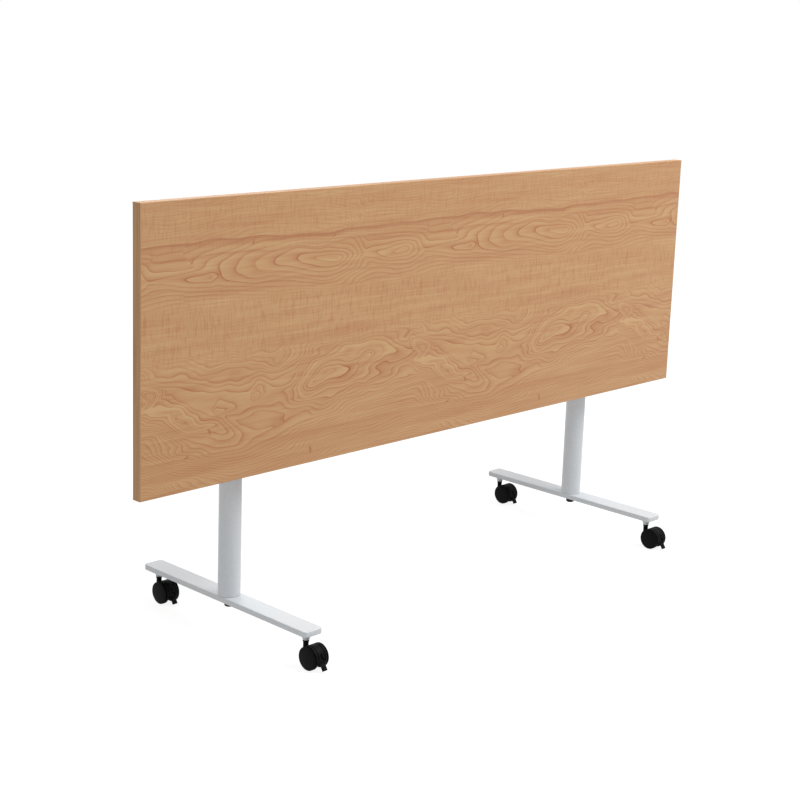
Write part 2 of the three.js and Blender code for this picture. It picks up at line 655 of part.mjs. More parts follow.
// Twin-wheel castor, drawn round its axle: hood with a neck on the stem, axle, two wheels, brake lever.
function makeCastor(name) {
  const group = new THREE.Group();
  const wheelInner = hoodWidth / 2 + wheelSideGap;
  const wheelOuter = castorTrack / 2;
  const axleEnd = wheelOuter - 2 * axleEndGap;
  const axleRadius = axleDiameter / 2;
  const hoodRadius = wheelRadius - hoodInset;
  const skirt = hoodSkirt - axleHeight;
  const neckTop = castorHeight - axleHeight - 2 * runGap;
  const pinBottom = castorHeight - stemPinLength - axleHeight;
  const neckRadius = neckDiameter / 2;

  const hoodShape = new THREE.Shape();
  const skirtAngle = Math.asin(skirt / hoodRadius);
  hoodShape.absarc(0, 0, hoodRadius, skirtAngle, Math.PI - skirtAngle);
  hoodShape.closePath();
  const neck = turnedZ([
    [0, -neckRoot], [neckRadius, -neckRoot], [neckRadius, neckTop - neckCollarHeight],
    [neckCollarDiameter / 2, neckTop - neckCollarHeight / 2], [neckCollarDiameter / 2, neckTop], [0, neckTop],
  ], pinSides).translate([0, castorTrail, 0]);
  const neckBore = rodUp(stemPinDiameter / 2 + runGap, pinBottom - runGap, castorHeight, pinSides)
    .translate([0, castorTrail, 0]);

  // Hollow under the hood, open below. The front wall has an opening for the brake lever and a slot above it.
  const hollowRadius = hoodRadius - hoodWall;
  const hollowRear = castorTrail - neckRadius - hoodWall;
  const hollow = new THREE.Shape();
  hollow.moveTo(hollowRear, -wheelRadius);
  hollow.absarc(0, 0, hollowRadius, Math.acos(hollowRear / hollowRadius), Math.PI);
  hollow.lineTo(-hollowRadius, -wheelRadius);
  hollow.closePath();
  const hollowHalf = hoodWidth / 2 - hoodWall;
  const leverHalf = leverWidth / 2;
  const slotHalf = leverHalf + 2 * runGap;
  const noseHalf = noseSlotWidth / 2;
  const slot = box([-slotHalf, -wheelDiameter, -wheelRadius], [slotHalf, -leverPivotForward, leverSlotTop]);
  const noseSlot = box(
    [-noseHalf, -wheelDiameter, -wheelRadius],
    [noseHalf, -leverPivotForward, leverSlotTop + noseSlotHeight]);
  const leverPin = hoodWidth / 2 - leverPinEndGap;
  const pinBore = rodX(leverPinDiameter / 2 + runGap, -leverPin - runGap, leverPin + runGap, pinSides / 2)
    .translate([0, -leverPivotForward, -leverPivotDrop]);
  const axleBore = rodX(axleRadius + fitGap, -hoodWidth, hoodWidth, pinSides);
  const hood = alongX(hoodShape, -hoodWidth / 2, hoodWidth / 2, wheelSides)
    .subtract(alongX(hollow, -hollowHalf, hollowHalf, pinSides))
    .add(neck).subtract(neckBore).subtract(slot).subtract(noseSlot).subtract(pinBore).subtract(axleBore);
  group.add(named(`${name}_castor_hood`, hood, materials.blackNylon));
  group.add(named(`${name}_castor_axle`, rodX(axleRadius, -axleEnd, axleEnd, pinSides), materials.steel));

  for (const [hand, side] of [['left', -1], ['right', 1]]) {
    const rim = wheelOuter - wheelDome;
    const shoulder = wheelRadius - wheelEdge;
    const dome = Array.from({ length: wheelDomeSteps + 1 }, (_, step) => {
      const share = 1 - step / wheelDomeSteps;
      return [shoulder * share, wheelOuter - (wheelDome - wheelEdge) * share ** 2];
    });
    const wheel = turnedX([
      [0, axleEnd + runGap], [axleRadius + runGap, axleEnd + runGap], [axleRadius + runGap, wheelInner],
      [shoulder, wheelInner], [wheelRadius, wheelInner + wheelEdge], [wheelRadius, rim], ...dome,
    ].map(([radius, station]) => [radius, side * station]), wheelSides);
    group.add(named(`${name}_wheel_${hand}`, wheel, materials.blackNylon));
  }

  // Brake lever: a hub on its pin, an arm through the slot and a tab to tread on.
  const tip = new THREE.Vector2(-leverReach, -leverTipDrop);
  const pivot = new THREE.Vector2(-leverPivotForward, -leverPivotDrop);
  const along = tip.clone().sub(pivot).normalize();
  const across = new THREE.Vector2(-along.y, along.x).multiplyScalar(leverTabThickness);
  const arm = new THREE.Shape([
    tip, tip.clone().add(across), pivot.clone().addScaledVector(across, 0.5),
    pivot.clone().addScaledVector(across, -0.5),
  ]);
  const leverHub = rodX(leverHubRadius, -leverHalf, leverHalf, pinSides)
    .translate([0, -leverPivotForward, -leverPivotDrop]);
  const pin = rodX(leverPinDiameter / 2, -leverPin, leverPin, pinSides / 2)
    .translate([0, -leverPivotForward, -leverPivotDrop]);
  const brake = alongX(arm, -leverHalf, leverHalf).add(leverHub).add(pin);
  group.add(named(`${name}_brake_lever`, brake, materials.blackNylon));
  return group;
}

function makeStem(name) {
  const radius = stemDiameter / 2;
  const pin = stemPinDiameter / 2;
  const stem = turnedZ([
    [0, castorHeight - stemPinLength], [pin, castorHeight - stemPinLength], [pin, castorHeight - runGap],
    [radius, castorHeight - runGap], [radius, castorHeight + stemEngagement],
    [0, castorHeight + stemEngagement],
  ], pinSides);
  return named(`${name}_castor_stem`, stem, materials.steel);
}

const table = new THREE.Group();

const onPivot = new THREE.Group();
onPivot.add(makeTop(), makeRelease(), makeBeam());
for (const [name, side] of [['left', -1], ['right', 1]]) {
  onPivot.add(makeBracket(name, side), makeQuadrant(name, side), makeSpring(`release_spring_${name}`, side));
  onPivot.add(placed(makeHead(name), side * columnSpacing / 2, 0, 0));
}
table.add(placed(onPivot, 0, columnY, pivotHeight));

for (const [name, side] of [['left', -1], ['right', 1]]) {
  const x = side * columnSpacing / 2;
  table.add(placed(makeLeg(name), x, columnY, 0));
  for (const [end, direction] of [['front', -1], ['rear', 1]]) {
    const y = columnY + direction * stemOffset;
    table.add(placed(makeStem(`${end}_${name}`), x, y, 0));
    table.add(placed(makeCastor(`${end}_${name}`), x, y - castorTrail, axleHeight));
  }
}

export default table;
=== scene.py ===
# %% [markdown]
# # A flip top training table
# The table is shown stowed: its wood-laminate top is turned up on edge in front of two silver T-shaped
# legs on black castors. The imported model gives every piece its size, place and motion. This lesson puts
# finishes on those pieces, swaps the ones whose facets would show for smooth surfaces, and adds the screws.

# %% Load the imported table
import json
import math

import bmesh
import bpy
import numpy as np
from mathutils import Matrix, Vector


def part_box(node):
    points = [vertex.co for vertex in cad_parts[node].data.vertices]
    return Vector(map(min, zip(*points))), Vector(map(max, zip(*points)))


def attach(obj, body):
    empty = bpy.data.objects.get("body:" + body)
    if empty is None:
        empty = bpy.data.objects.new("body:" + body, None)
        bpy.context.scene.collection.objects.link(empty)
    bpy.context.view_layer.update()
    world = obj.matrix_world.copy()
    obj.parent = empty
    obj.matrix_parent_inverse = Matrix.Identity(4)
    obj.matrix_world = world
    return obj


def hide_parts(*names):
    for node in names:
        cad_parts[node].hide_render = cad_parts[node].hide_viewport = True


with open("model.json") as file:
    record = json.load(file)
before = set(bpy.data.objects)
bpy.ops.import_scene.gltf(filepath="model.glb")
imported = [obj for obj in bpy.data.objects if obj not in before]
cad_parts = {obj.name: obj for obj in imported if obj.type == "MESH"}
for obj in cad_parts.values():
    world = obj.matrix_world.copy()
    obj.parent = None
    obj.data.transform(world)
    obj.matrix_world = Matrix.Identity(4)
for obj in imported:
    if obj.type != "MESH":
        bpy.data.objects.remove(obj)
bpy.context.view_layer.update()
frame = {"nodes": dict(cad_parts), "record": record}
nodes = frame["nodes"]

# %% [markdown]
# ## Measures from the frame
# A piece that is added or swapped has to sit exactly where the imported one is. So the axes that several
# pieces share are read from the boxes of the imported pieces, and only sizes that a box can't show are
# written down. Those are in mm, and a short function turns them into Blender's metres.

# %% Sizes and shared axes
MM = 0.001


def mm(*sizes):
    """Sizes in mm as an array in metres."""
    return np.array(sizes) * MM


def middle(node):
    """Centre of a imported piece's box."""
    low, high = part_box(node)
    return np.array((low + high) / 2)


hands = {"left": -1, "right": 1}
ends = ("front", "rear")
castors = [f"{end}_{hand}" for hand in hands for end in ends]
pivot = middle("cross_beam")
rod = middle("release_rod")
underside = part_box("top_board")[1].y
print("flip axis at", np.round(pivot / MM, 1), "mm, release rod at", np.round(rod / MM, 1), "mm")

# %% [markdown]
# ## The camera
# The photograph was taken from the front left, a little above the top. Its lines were matched by a pinhole
# camera: a place, three angles and a focal length. The picture's optical centre lies a little left of and
# above the middle of the frame, which Blender calls lens shift.

# %% Camera at the photograph's view
FRAME_PIXELS = 800
FOCAL_PIXELS = 1616.1
OPTICAL_CENTRE = (360.0, 350.0)
SENSOR_WIDTH = 36.0
camera_place = mm(-2769.5, -2552.2, 1355.1)
yaw, pitch, roll = np.radians([44.79, 12.05, -1.67])

right = np.array([math.cos(yaw), -math.sin(yaw), 0])
ahead = np.array([math.sin(yaw) * math.cos(pitch), math.cos(yaw) * math.cos(pitch), -math.sin(pitch)])
down = np.cross(ahead, right)
picture_right = math.cos(roll) * right + math.sin(roll) * down
picture_down = math.cos(roll) * down - math.sin(roll) * right

lens = bpy.data.cameras.new("camera")
lens.sensor_width = SENSOR_WIDTH
lens.lens = FOCAL_PIXELS / FRAME_PIXELS * SENSOR_WIDTH
lens.shift_x = (FRAME_PIXELS / 2 - OPTICAL_CENTRE[0]) / FRAME_PIXELS
lens.shift_y = (OPTICAL_CENTRE[1] - FRAME_PIXELS / 2) / FRAME_PIXELS
camera = bpy.data.objects.new("camera", lens)
turned = Matrix(np.stack([picture_right, -picture_down, -ahead], 1).tolist())
camera.matrix_world = Matrix.Translation(camera_place.tolist()) @ turned.to_4x4()
bpy.context.scene.collection.objects.link(camera)
bpy.context.scene.camera = camera
print("focal length", round(lens.lens, 2), "mm")

# %% [markdown]
# ## Adding shader nodes
# A procedural finish is a small graph of nodes. Wiring each one by hand takes five lines, so one function
# adds a node, sets it and links it. Colours are written as sRGB hex, as a paint chart or a colour picker
# gives them, and turned to the linear values that the renderer works in.


# %% One function for nodes, one for colours
def fill(tree, node, inputs):
    """Fills a node's inputs: a node gives its first output, a socket is linked, and a value is set."""
    for key, value in inputs.items():
        source = value.outputs[0] if isinstance(value, bpy.types.Node) else value
        if isinstance(source, bpy.types.NodeSocket):
            tree.links.new(source, node.inputs[key])
        else:
            node.inputs[key].default_value = source


def add(tree, kind, inputs=None, stops=None, **settings):
    """Adds one node. stops are the (position, colour) pairs of a colour ramp, in rising order."""
    node = tree.nodes.new("ShaderNode" + kind)
    for key, value in settings.items():
        setattr(node, key, value)
    fill(tree, node, inputs or {})
    if stops:
        elements = node.color_ramp.elements
        for position, _ in stops[1:-1]:
            elements.new(position)
        for element, (position, colour) in zip(elements, stops):
            element.position = position
            element.color = colour
    return node


def linear(colour):
    """A channel c of an sRGB hex colour becomes ((c + 0.055) / 1.055) ** 2.4, or c / 12.92 where dark."""
    channel = np.array([int(colour[i:i + 2], 16) for i in (1, 3, 5)]) / 255
    light = np.where(channel <= 0.04045, channel / 12.92, ((channel + 0.055) / 1.055) ** 2.4)
    return (*light.tolist(), 1.0)


# %% [markdown]
# ## Studio: floor, world and lamps
# A product photograph on white has an even, soft light. A white world gives the fill, and one large lamp to
# the upper right makes upward faces brightest and the faces turned to the left darkest, as in the
# photograph. To the camera the floor is nearly white by itself, with a little plain reflection added, so
# the shadow still shows.


# %% What the camera sees
def seen_directly(tree):
    """1 for a ray from the camera, or by way of a mirror or glass, and 0 for light on the table."""
    rays = add(tree, "LightPath").outputs
    seen = add(tree, "Math", {0: rays["Is Camera Ray"], 1: rays["Is Glossy Ray"]}, operation="MAXIMUM")
    return add(tree, "Math", {0: seen, 1: rays["Is Transmission Ray"]}, operation="MAXIMUM")


# %% Floor
FLOOR_HALF = 8.0
FLOOR_GLOW = 0.88
FLOOR_REFLECTION = 0.22
corners = np.array([(-1, -1, 0), (1, -1, 0), (1, 1, 0), (-1, 1, 0)]) * FLOOR_HALF
floor_mesh = bpy.data.meshes.new("studio_floor")
floor_mesh.from_pydata(corners.tolist(), [], [(0, 1, 2, 3)])
floor = bpy.data.objects.new("studio_floor", floor_mesh)
bpy.context.scene.collection.objects.link(floor)

paper = bpy.data.materials.new("white_backdrop_paper")
paper.use_nodes = True
tree = paper.node_tree
tree.nodes.clear()
glow = add(tree, "Emission", {"Color": (1, 1, 1, 1), "Strength": FLOOR_GLOW})
faint = add(tree, "BsdfDiffuse", {"Color": (FLOOR_REFLECTION,) * 3 + (1,)})
shown = add(tree, "AddShader", {0: glow, 1: faint})
plain = add(tree, "BsdfDiffuse", {"Color": linear("#CACACA")})
either = add(tree, "MixShader", {0: seen_directly(tree), 1: plain, 2: shown})
add(tree, "OutputMaterial", {"Surface": either})
floor_mesh.materials.append(paper)
print("floor", 2 * FLOOR_HALF, "m across")

# %% World and lamps
WORLD_LEVEL = 0.52
world = bpy.data.worlds.new("white_studio")
world.use_nodes = True
tree = world.node_tree
tree.nodes.clear()
level = add(tree, "MapRange", {"Value": seen_directly(tree), "To Min": WORLD_LEVEL, "To Max": 1.0})
sky = add(tree, "Background", {"Color": (1, 1, 1, 1), "Strength": level})
add(tree, "OutputWorld", {"Surface": sky})
bpy.context.scene.world = world

LAMP_SIZE = 4.2
AIM = Vector((0, 0, 0.6))
# Place in metres and power in watts.
lamp_places = {"key_softbox": ((2.5, -2.8, 5.9), 349.0), "rear_softbox": ((1.7, 5.0, 3.7), 78.0)}
for name, (place, watts) in lamp_places.items():
    light = bpy.data.lights.new(name, "AREA")
    light.size = LAMP_SIZE
    light.energy = watts
    lamp = bpy.data.objects.new(name, light)
    turned = (Vector(place) - AIM).to_track_quat("Z", "Y").to_matrix()
    lamp.matrix_world = Matrix.Translation(place) @ turned.to_4x4()
    bpy.context.scene.collection.objects.link(lamp)
bpy.context.scene.view_settings.view_transform = "Standard"
print("world at", WORLD_LEVEL, "and", len(lamp_places), "lamps")

# %% [markdown]
# ## Finishes
# Every finish starts from Blender's Principled shader. Its patterns read Object coordinates, which are
# metres in the table's own frame, so a pattern's scale is one over a real size in metres.

# %% A new finish for a material slot
finishes = {}
# Where a Mix node takes its two colours, and where it gives their mix.
COLOUR_A, COLOUR_B, MIXED = 6, 7, 2


def new_finish(name, slot):
    """A material named for what it is, kept under the slot it dresses; gives its tree, shader and place."""
    material = bpy.data.materials.new(name)
    material.use_nodes = True
    finishes[slot] = material
    tree = material.node_tree
    place = add(tree, "TexCoord").outputs["Object"]
    return tree, tree.nodes["Principled BSDF"], place


def cells(*sizes):
    """The Mapping scale of a pattern whose cells have these sizes in mm along X, Y and Z."""
    return tuple(1 / mm(*sizes))


# %% [markdown]
# ### Wood-grain laminate: back onto the roller
# The top is particle board under a beech-like decor paper, pressed with a satin resin. The paper was
# printed by a roller, so its figure comes again after each turn, here every 785 mm. A picture of the paper
# could be laid on the top, but nodes stay sharp at any distance. So each point of the top is laid back onto
# the roller, whose girth is the repeat: noise that is read there has no seam where one turn meets the next.

# %% Points on the printing roller
REPEAT, REPEAT_START, TOP_DEPTH = mm(785, -663, 600)
FULL_TURN = 2 * math.pi
ROLLER = REPEAT / FULL_TURN
tree, shader, place = new_finish("satin_beech_laminate", "laminate")
split = add(tree, "SeparateXYZ", {"Vector": place})
height = add(tree, "Math", {0: split.outputs["Z"], 1: pivot[2]}, operation="SUBTRACT")
turns = add(tree, "Math", {0: split.outputs["X"], 1: REPEAT_START}, operation="SUBTRACT")
turns = add(tree, "Math", {0: turns, 1: 1 / REPEAT}, operation="MULTIPLY")
angle = add(tree, "Math", {0: turns, 1: FULL_TURN}, operation="MULTIPLY")
circle_x = add(tree, "Math", {0: angle}, operation="COSINE")
circle_y = add(tree, "Math", {0: angle}, operation="SINE")
roller = add(tree, "CombineXYZ", {"X": circle_x, "Y": circle_y, "Z": height})
roller = add(tree, "VectorMath", {0: roller, 1: (ROLLER, ROLLER, 1)}, operation="MULTIPLY")
print("roller", round(2 * ROLLER / MM), "mm across")

# %% [markdown]
# ### Laminate: the figure
# On a flat-cut board the lines are growth rings cut at a shallow angle. Where the cut just touches a ring,
# the lines close round an eye, and far from it they run close and straight. So the lines are level lines of
# a distance to the nearest eye. Long eyes in the upper half have rings that are drawn out to the left,
# which gives nested arches. A group of rounder eyes in the lower half gives the swirls: there a curly noise
# first pulls each point aside, so that no eye stays an oval.

# %% Bends and curls
BEND, CURL = mm(16, 26)
SWAY = 0.07
SWIRL_LEVEL, SWIRL_HALF, SWIRL_END = mm(-110, 55, 105)
# Noise is 0.5 on average. Less that and doubled, it pulls as far one way as the other.
NOISE_MEAN = (0.5, 0.5, 0.5)
swirl = add(tree, "Math", {0: height, 1: SWIRL_LEVEL}, operation="SUBTRACT")
swirl = add(tree, "Math", {0: swirl}, operation="ABSOLUTE")
swirl = add(tree, "MapRange", {"Value": swirl, "From Min": SWIRL_HALF, "From Max": SWIRL_END,
                               "To Min": CURL, "To Max": 0.0}, interpolation_type="SMOOTHSTEP")
bends = add(tree, "Mapping", {"Vector": roller, "Scale": cells(140, 140, 50)})
bends = add(tree, "TexNoise", {"Vector": bends, "Scale": 1.0, "Detail": 1.0})
bends = add(tree, "VectorMath", {0: bends.outputs["Color"], 1: NOISE_MEAN}, operation="SUBTRACT")
bends = add(tree, "VectorMath", {0: bends, 1: (2 * BEND, 2 * SWAY * REPEAT, 0)}, operation="MULTIPLY")
curls = add(tree, "Mapping", {"Vector": roller, "Scale": cells(90, 90, 45)})
curls = add(tree, "TexNoise", {"Vector": curls, "Scale": 1.0, "Detail": 1.0})
curls = add(tree, "VectorMath", {0: curls.outputs["Color"], 1: NOISE_MEAN}, operation="SUBTRACT")
curls = add(tree, "VectorMath", {0: curls, "Scale": swirl}, operation="SCALE")
pulled = add(tree, "VectorMath", {0: curls, 1: (2, 2, 0), 2: bends}, operation="MULTIPLY_ADD")
pulled = add(tree, "SeparateXYZ", {"Vector": pulled})
bent_height = add(tree, "Math", {0: pulled.outputs["X"], 1: height}, operation="ADD")
swayed = add(tree, "Math", {0: pulled.outputs["Y"], 1: 1 / REPEAT, 2: turns}, operation="MULTIPLY_ADD")
print("lines bend by up to", round(BEND / MM), "mm, and curl by up to", round(CURL / MM), "mm more")

# %% Eyes of the figure
REACH_BLEND = 0.08


def eye(share, level, reach, ring, stretch, power, first, tilt, lean):
    """Rings from an eye: (along ** power + across ** power) ** (1 / power) / ring + first. along is the
    shorter way to it round the roller, times 1 + lean on its left and 1 - lean on its right, at most reach,
    over stretch. across is the height above or below a line through the eye that falls by tilt, then comes
    back as a sine does. A power near 1 makes pointed ends, and past the reach the lines run straight."""
    offset = add(tree, "Math", {0: swayed, 1: share}, operation="SUBTRACT")
    offset = add(tree, "Math", {0: offset, 1: 0.5, 2: -0.5}, operation="WRAP")
    along = add(tree, "Math", {0: offset}, operation="ABSOLUTE")
    along = add(tree, "Math", {0: offset, 1: -lean, 2: along}, operation="MULTIPLY_ADD")
    along = add(tree, "Math", {0: along, 1: reach / REPEAT, 2: REACH_BLEND}, operation="SMOOTH_MIN")
    along = add(tree, "Math", {0: along, 1: REPEAT / stretch}, operation="MULTIPLY")
    along = add(tree, "Math", {0: along, 1: power}, operation="POWER")
    across = add(tree, "Math", {0: offset, 1: FULL_TURN}, operation="MULTIPLY")
    across = add(tree, "Math", {0: across}, operation="SINE")
    across = add(tree, "Math", {0: across, 1: tilt * ROLLER, 2: bent_height}, operation="MULTIPLY_ADD")
    across = add(tree, "Math", {0: across, 1: level}, operation="SUBTRACT")
    across = add(tree, "Math", {0: across}, operation="ABSOLUTE")
    across = add(tree, "Math", {0: across, 1: power}, operation="POWER")
    both = add(tree, "Math", {0: along, 1: across}, operation="ADD")
    both = add(tree, "Math", {0: both, 1: 1 / power}, operation="POWER")
    return add(tree, "Math", {0: both, 1: 1 / ring, 2: first}, operation="MULTIPLY_ADD")


# Share of a turn, height, reach and ring width in metres, stretch, power, first ring, tilt and lean.
eyes = [(0.351, 0.150, 0.18, 0.0100, 2.7, 2.00, 0.0, 0.05, -0.55),
        (0.645, 0.148, 0.15, 0.0105, 3.4, 1.80, 3.0, 0.03, -0.50),
        (0.910, 0.140, 0.15, 0.0105, 4.0, 1.50, 4.4, 0.0, -0.50),
        (0.330, -0.108, 0.17, 0.0105, 2.6, 1.8, 0.0, -0.20, 0.45),
        (0.489, -0.088, 0.10, 0.0070, 1.1, 2.0, 0.3, 0.0, 0.0),
        (0.715, -0.090, 0.10, 0.0070, 1.1, 2.0, 0.3, 0.0, 0.0),
        (0.095, -0.116, 0.15, 0.0090, 1.4, 1.8, 4.2, 0.0, 0.2),
        (0.945, -0.136, 0.17, 0.0090, 1.4, 1.6, 4.2, 0.15, 0.6),
        (0.840, -0.150, 0.20, 0.0100, 4.0, 1.5, 2.4, 0.45, 0.0)]
# How many rings away from a meeting of two eyes the lines start to join, and how many rings they shake.
EYE_BLEND, SHAKE = 1.2, 0.15
from_eye = eye(*eyes[0])
for spot in eyes[1:]:
    from_eye = add(tree, "Math", {0: from_eye, 1: eye(*spot), 2: EYE_BLEND}, operation="SMOOTH_MIN")
shakes = add(tree, "Mapping", {"Vector": roller, "Scale": cells(80, 80, 30)})
shakes = add(tree, "TexNoise", {"Vector": shakes, "Scale": 1.0, "Detail": 1.5})
from_eye = add(tree, "Math", {0: shakes, 1: 2 * SHAKE, 2: from_eye}, operation="MULTIPLY_ADD")
print("figure of", len(eyes), "eyes")

# %% [markdown]
# ### Laminate: ring lines
# A growth ring starts with a thin dark line, turns slowly paler and ends pale. The remainder of distance
# over ring width runs from 0 to 1 across each ring: a low power of one minus it gives the slow change, and
# a high power the line. No two years are alike, so the ring's number picks how dark its line and its wood
# are. Rings get narrower outwards, as in a tree, and they are strong in the two figured bands and faint
# between them.

# %% Ring lines
NARROWING = 1 / 40
SLOW_POWER, LINE_POWER = 2.2, 14.0
rings = add(tree, "Math", {0: from_eye, 1: NARROWING, 2: 1.0}, operation="MULTIPLY_ADD")
rings = add(tree, "Math", {0: rings, 1: from_eye}, operation="MULTIPLY")
year = add(tree, "Math", {0: rings}, operation="FLOOR")
year = add(tree, "TexWhiteNoise", {"W": year}, noise_dimensions="1D")
year_line = add(tree, "MapRange", {"Value": year, "From Min": 0.25, "From Max": 0.9, "To Min": 0.12})
year_tone = add(tree, "SeparateColor", {"Color": year.outputs["Color"]})
rings = add(tree, "Math", {0: rings}, operation="FRACT")
rings = add(tree, "Math", {0: 1.0, 1: rings}, operation="SUBTRACT")
slow = add(tree, "Math", {0: rings, 1: SLOW_POWER}, operation="POWER")
line = add(tree, "Math", {0: rings, 1: LINE_POWER}, operation="POWER")
print("ring lines fade with the power", LINE_POWER)

# %% Bands with and without figure
# Share of the top's depth, from its lower edge, and how strong the figure is there.
figured = [(0.0, 0.95), (0.15, 0.85), (0.20, 0.95), (0.25, 1.0), (0.40, 1.0), (0.47, 0.20),
           (0.62, 0.15), (0.67, 0.80), (0.78, 1.0), (0.84, 0.60), (0.90, 0.35), (1.0, 0.45)]
SLOW_DEPTH, SLOW_REST, YEAR_DEPTH = 0.24, -0.03, 0.14
half_depth = TOP_DEPTH / 2
share = add(tree, "MapRange", {"Value": bent_height, "From Min": -half_depth, "From Max": half_depth})
bands = add(tree, "ValToRGB", {"Fac": share}, stops=[(at, (much,) * 3 + (1,)) for at, much in figured])
patchy = add(tree, "Mapping", {"Vector": roller, "Scale": cells(150, 150, 50)})
patchy = add(tree, "TexNoise", {"Vector": patchy, "Scale": 1.0, "Detail": 2.0})
patchy = add(tree, "MapRange", {"Value": patchy, "From Min": 0.3, "From Max": 0.65, "To Min": 0.35})
year_tone = add(tree, "Math", {0: year_tone, 1: 0.5}, operation="SUBTRACT")
year_tone = add(tree, "Math", {0: year_tone, 1: swirl}, operation="MULTIPLY")
slow = add(tree, "Math", {0: slow, 1: SLOW_DEPTH, 2: SLOW_REST}, operation="MULTIPLY_ADD")
slow = add(tree, "Math", {0: year_tone, 1: YEAR_DEPTH / CURL, 2: slow}, operation="MULTIPLY_ADD")
slow = add(tree, "Math", {0: slow, 1: bands}, operation="MULTIPLY")
for strength in (bands, patchy, year_line):
    line = add(tree, "Math", {0: line, 1: strength}, operation="MULTIPLY")
print("figure in", len(figured) - 1, "bands")

# %% [markdown]
# ### Laminate: fibres, flecks, veins and pins
# Fine fibres run along the grain, and broad streaks drift between tan and reddish brown. Between the
# figured bands the rays of the wood show as short flecks across the grain. Thin reddish veins run above the
# arches, and a few pin knots, where a twig once grew, show as small dark spots.

# %% Streaks, fibres and cross flecks
FIBRE_DEPTH, STREAK_DEPTH, FLECK_DEPTH, TONE_REST = 0.28, 0.45, 0.27, -0.080
fibres = add(tree, "Mapping", {"Vector": roller, "Scale": cells(100, 100, 3)})
fibres = add(tree, "TexNoise", {"Vector": fibres, "Scale": 1.0, "Detail": 3.0})
streaks = add(tree, "Mapping", {"Vector": roller, "Scale": cells(250, 250, 12)})
streaks = add(tree, "TexNoise", {"Vector": streaks, "Scale": 1.0, "Detail": 4.0})
flecks = add(tree, "Mapping", {"Vector": roller, "Scale": cells(3.6, 3.6, 28)})
flecks = add(tree, "TexNoise", {"Vector": flecks, "Scale": 1.0, "Detail": 2.0})
flecks = add(tree, "MapRange", {"Value": flecks, "From Min": 0.48, "From Max": 0.75})
between = add(tree, "MapRange", {"Value": bands, "To Min": FLECK_DEPTH, "To Max": 0.0})
tone = add(tree, "Math", {0: fibres, 1: FIBRE_DEPTH, 2: TONE_REST}, operation="MULTIPLY_ADD")
tone = add(tree, "Math", {0: streaks, 1: STREAK_DEPTH, 2: tone}, operation="MULTIPLY_ADD")
tone = add(tree, "Math", {0: flecks, 1: between, 2: tone}, operation="MULTIPLY_ADD")
tone = add(tree, "Math", {0: slow, 1: tone}, operation="ADD")
print("tone from fibres, streaks, flecks and rings")

# %% Veins and pin knots
PIN_INK = 0.6
ink = line
# Height of a vein's sharp upper edge and how far down it fades, in metres, and its strength.
veins = [(0.210, 0.014, 0.42), (0.184, 0.007, 0.24), (0.118, 0.008, 0.18), (-0.225, 0.07, 0.12)]
for level, fade, strength in veins:
    below = add(tree, "Math", {0: level, 1: bent_height}, operation="SUBTRACT")
    vein = add(tree, "MapRange", {"Value": below, "From Max": fade, "To Min": strength, "To Max": 0.0})
    below = add(tree, "Math", {0: below, 1: 0.0}, operation="GREATER_THAN")
    vein = add(tree, "Math", {0: vein, 1: below}, operation="MULTIPLY")
    ink = add(tree, "Math", {0: ink, 1: vein}, operation="MAXIMUM")
# Share of a turn, and height and half width in metres. A pin is twice as long across the grain.
pins = [(0.896, -0.190, 0.005), (0.284, -0.272, 0.008), (0.068, 0.199, 0.005), (0.373, 0.203, 0.005),
        (0.851, -0.225, 0.004)]
for turned_by, level, half_width in pins:
    along = add(tree, "Math", {0: swayed, 1: turned_by}, operation="SUBTRACT")
    along = add(tree, "Math", {0: along, 1: 0.5, 2: -0.5}, operation="WRAP")
    along = add(tree, "Math", {0: along, 1: REPEAT / half_width}, operation="MULTIPLY")
    across = add(tree, "Math", {0: bent_height, 1: level}, operation="SUBTRACT")
    across = add(tree, "Math", {0: across, 1: 0.5 / half_width}, operation="MULTIPLY")
    away = add(tree, "CombineXYZ", {"X": along, "Y": across})
    away = add(tree, "VectorMath", {0: away}, operation="LENGTH").outputs["Value"]
    pin = add(tree, "MapRange", {"Value": away, "To Min": PIN_INK, "To Max": 0.0})
    ink = add(tree, "Math", {0: ink, 1: pin}, operation="MAXIMUM")
print(len(veins), "veins and", len(pins), "pin knots")

# %% Colour and sheen
INK_SHARE = 1.15
wood = add(tree, "ValToRGB", {"Fac": tone}, stops=[(0.12, linear("#CEA676")), (0.58, linear("#B67B4F"))])
inked = add(tree, "Math", {0: ink, 1: INK_SHARE}, operation="MULTIPLY")
lined = add(tree, "Mix", {0: inked, COLOUR_A: wood, COLOUR_B: linear("#9C4018")}, data_type="RGBA")
# Satin resin: a soft sheen that is a little uneven along the fibres, over a barely embossed grain.
sheen = add(tree, "MapRange", {"Value": fibres, "To Min": 0.42, "To Max": 0.56})
pores = add(tree, "Bump", {"Height": fibres, "Strength": 0.15, "Distance": 0.3 * MM})
fill(tree, shader, {"Base Color": lined.outputs[MIXED], "Roughness": sheen, "Normal": pores, "IOR": 1.50})
print("laminate:", len(tree.nodes), "nodes")

# %% [markdown]
# ### Edge band
# The edges are closed by a 2 mm plastic band printed with straight grain, ironed on and rounded. It shows
# only fine streaks along its length and a slightly redder tone than the face.

# %% Edge band
EDGE_STREAK = 2.2
tree, shader, place = new_finish("wood_tone_abs_edging", "edging")
streaks = add(tree, "Mapping", {"Vector": place, "Scale": cells(200, EDGE_STREAK, 200)})
streaks = add(tree, "TexNoise", {"Vector": streaks, "Scale": 1.0, "Detail": 3.0})
wood = add(tree, "ValToRGB", {"Fac": streaks}, stops=[(0.30, linear("#B5865B")), (0.70, linear("#D1A478"))])
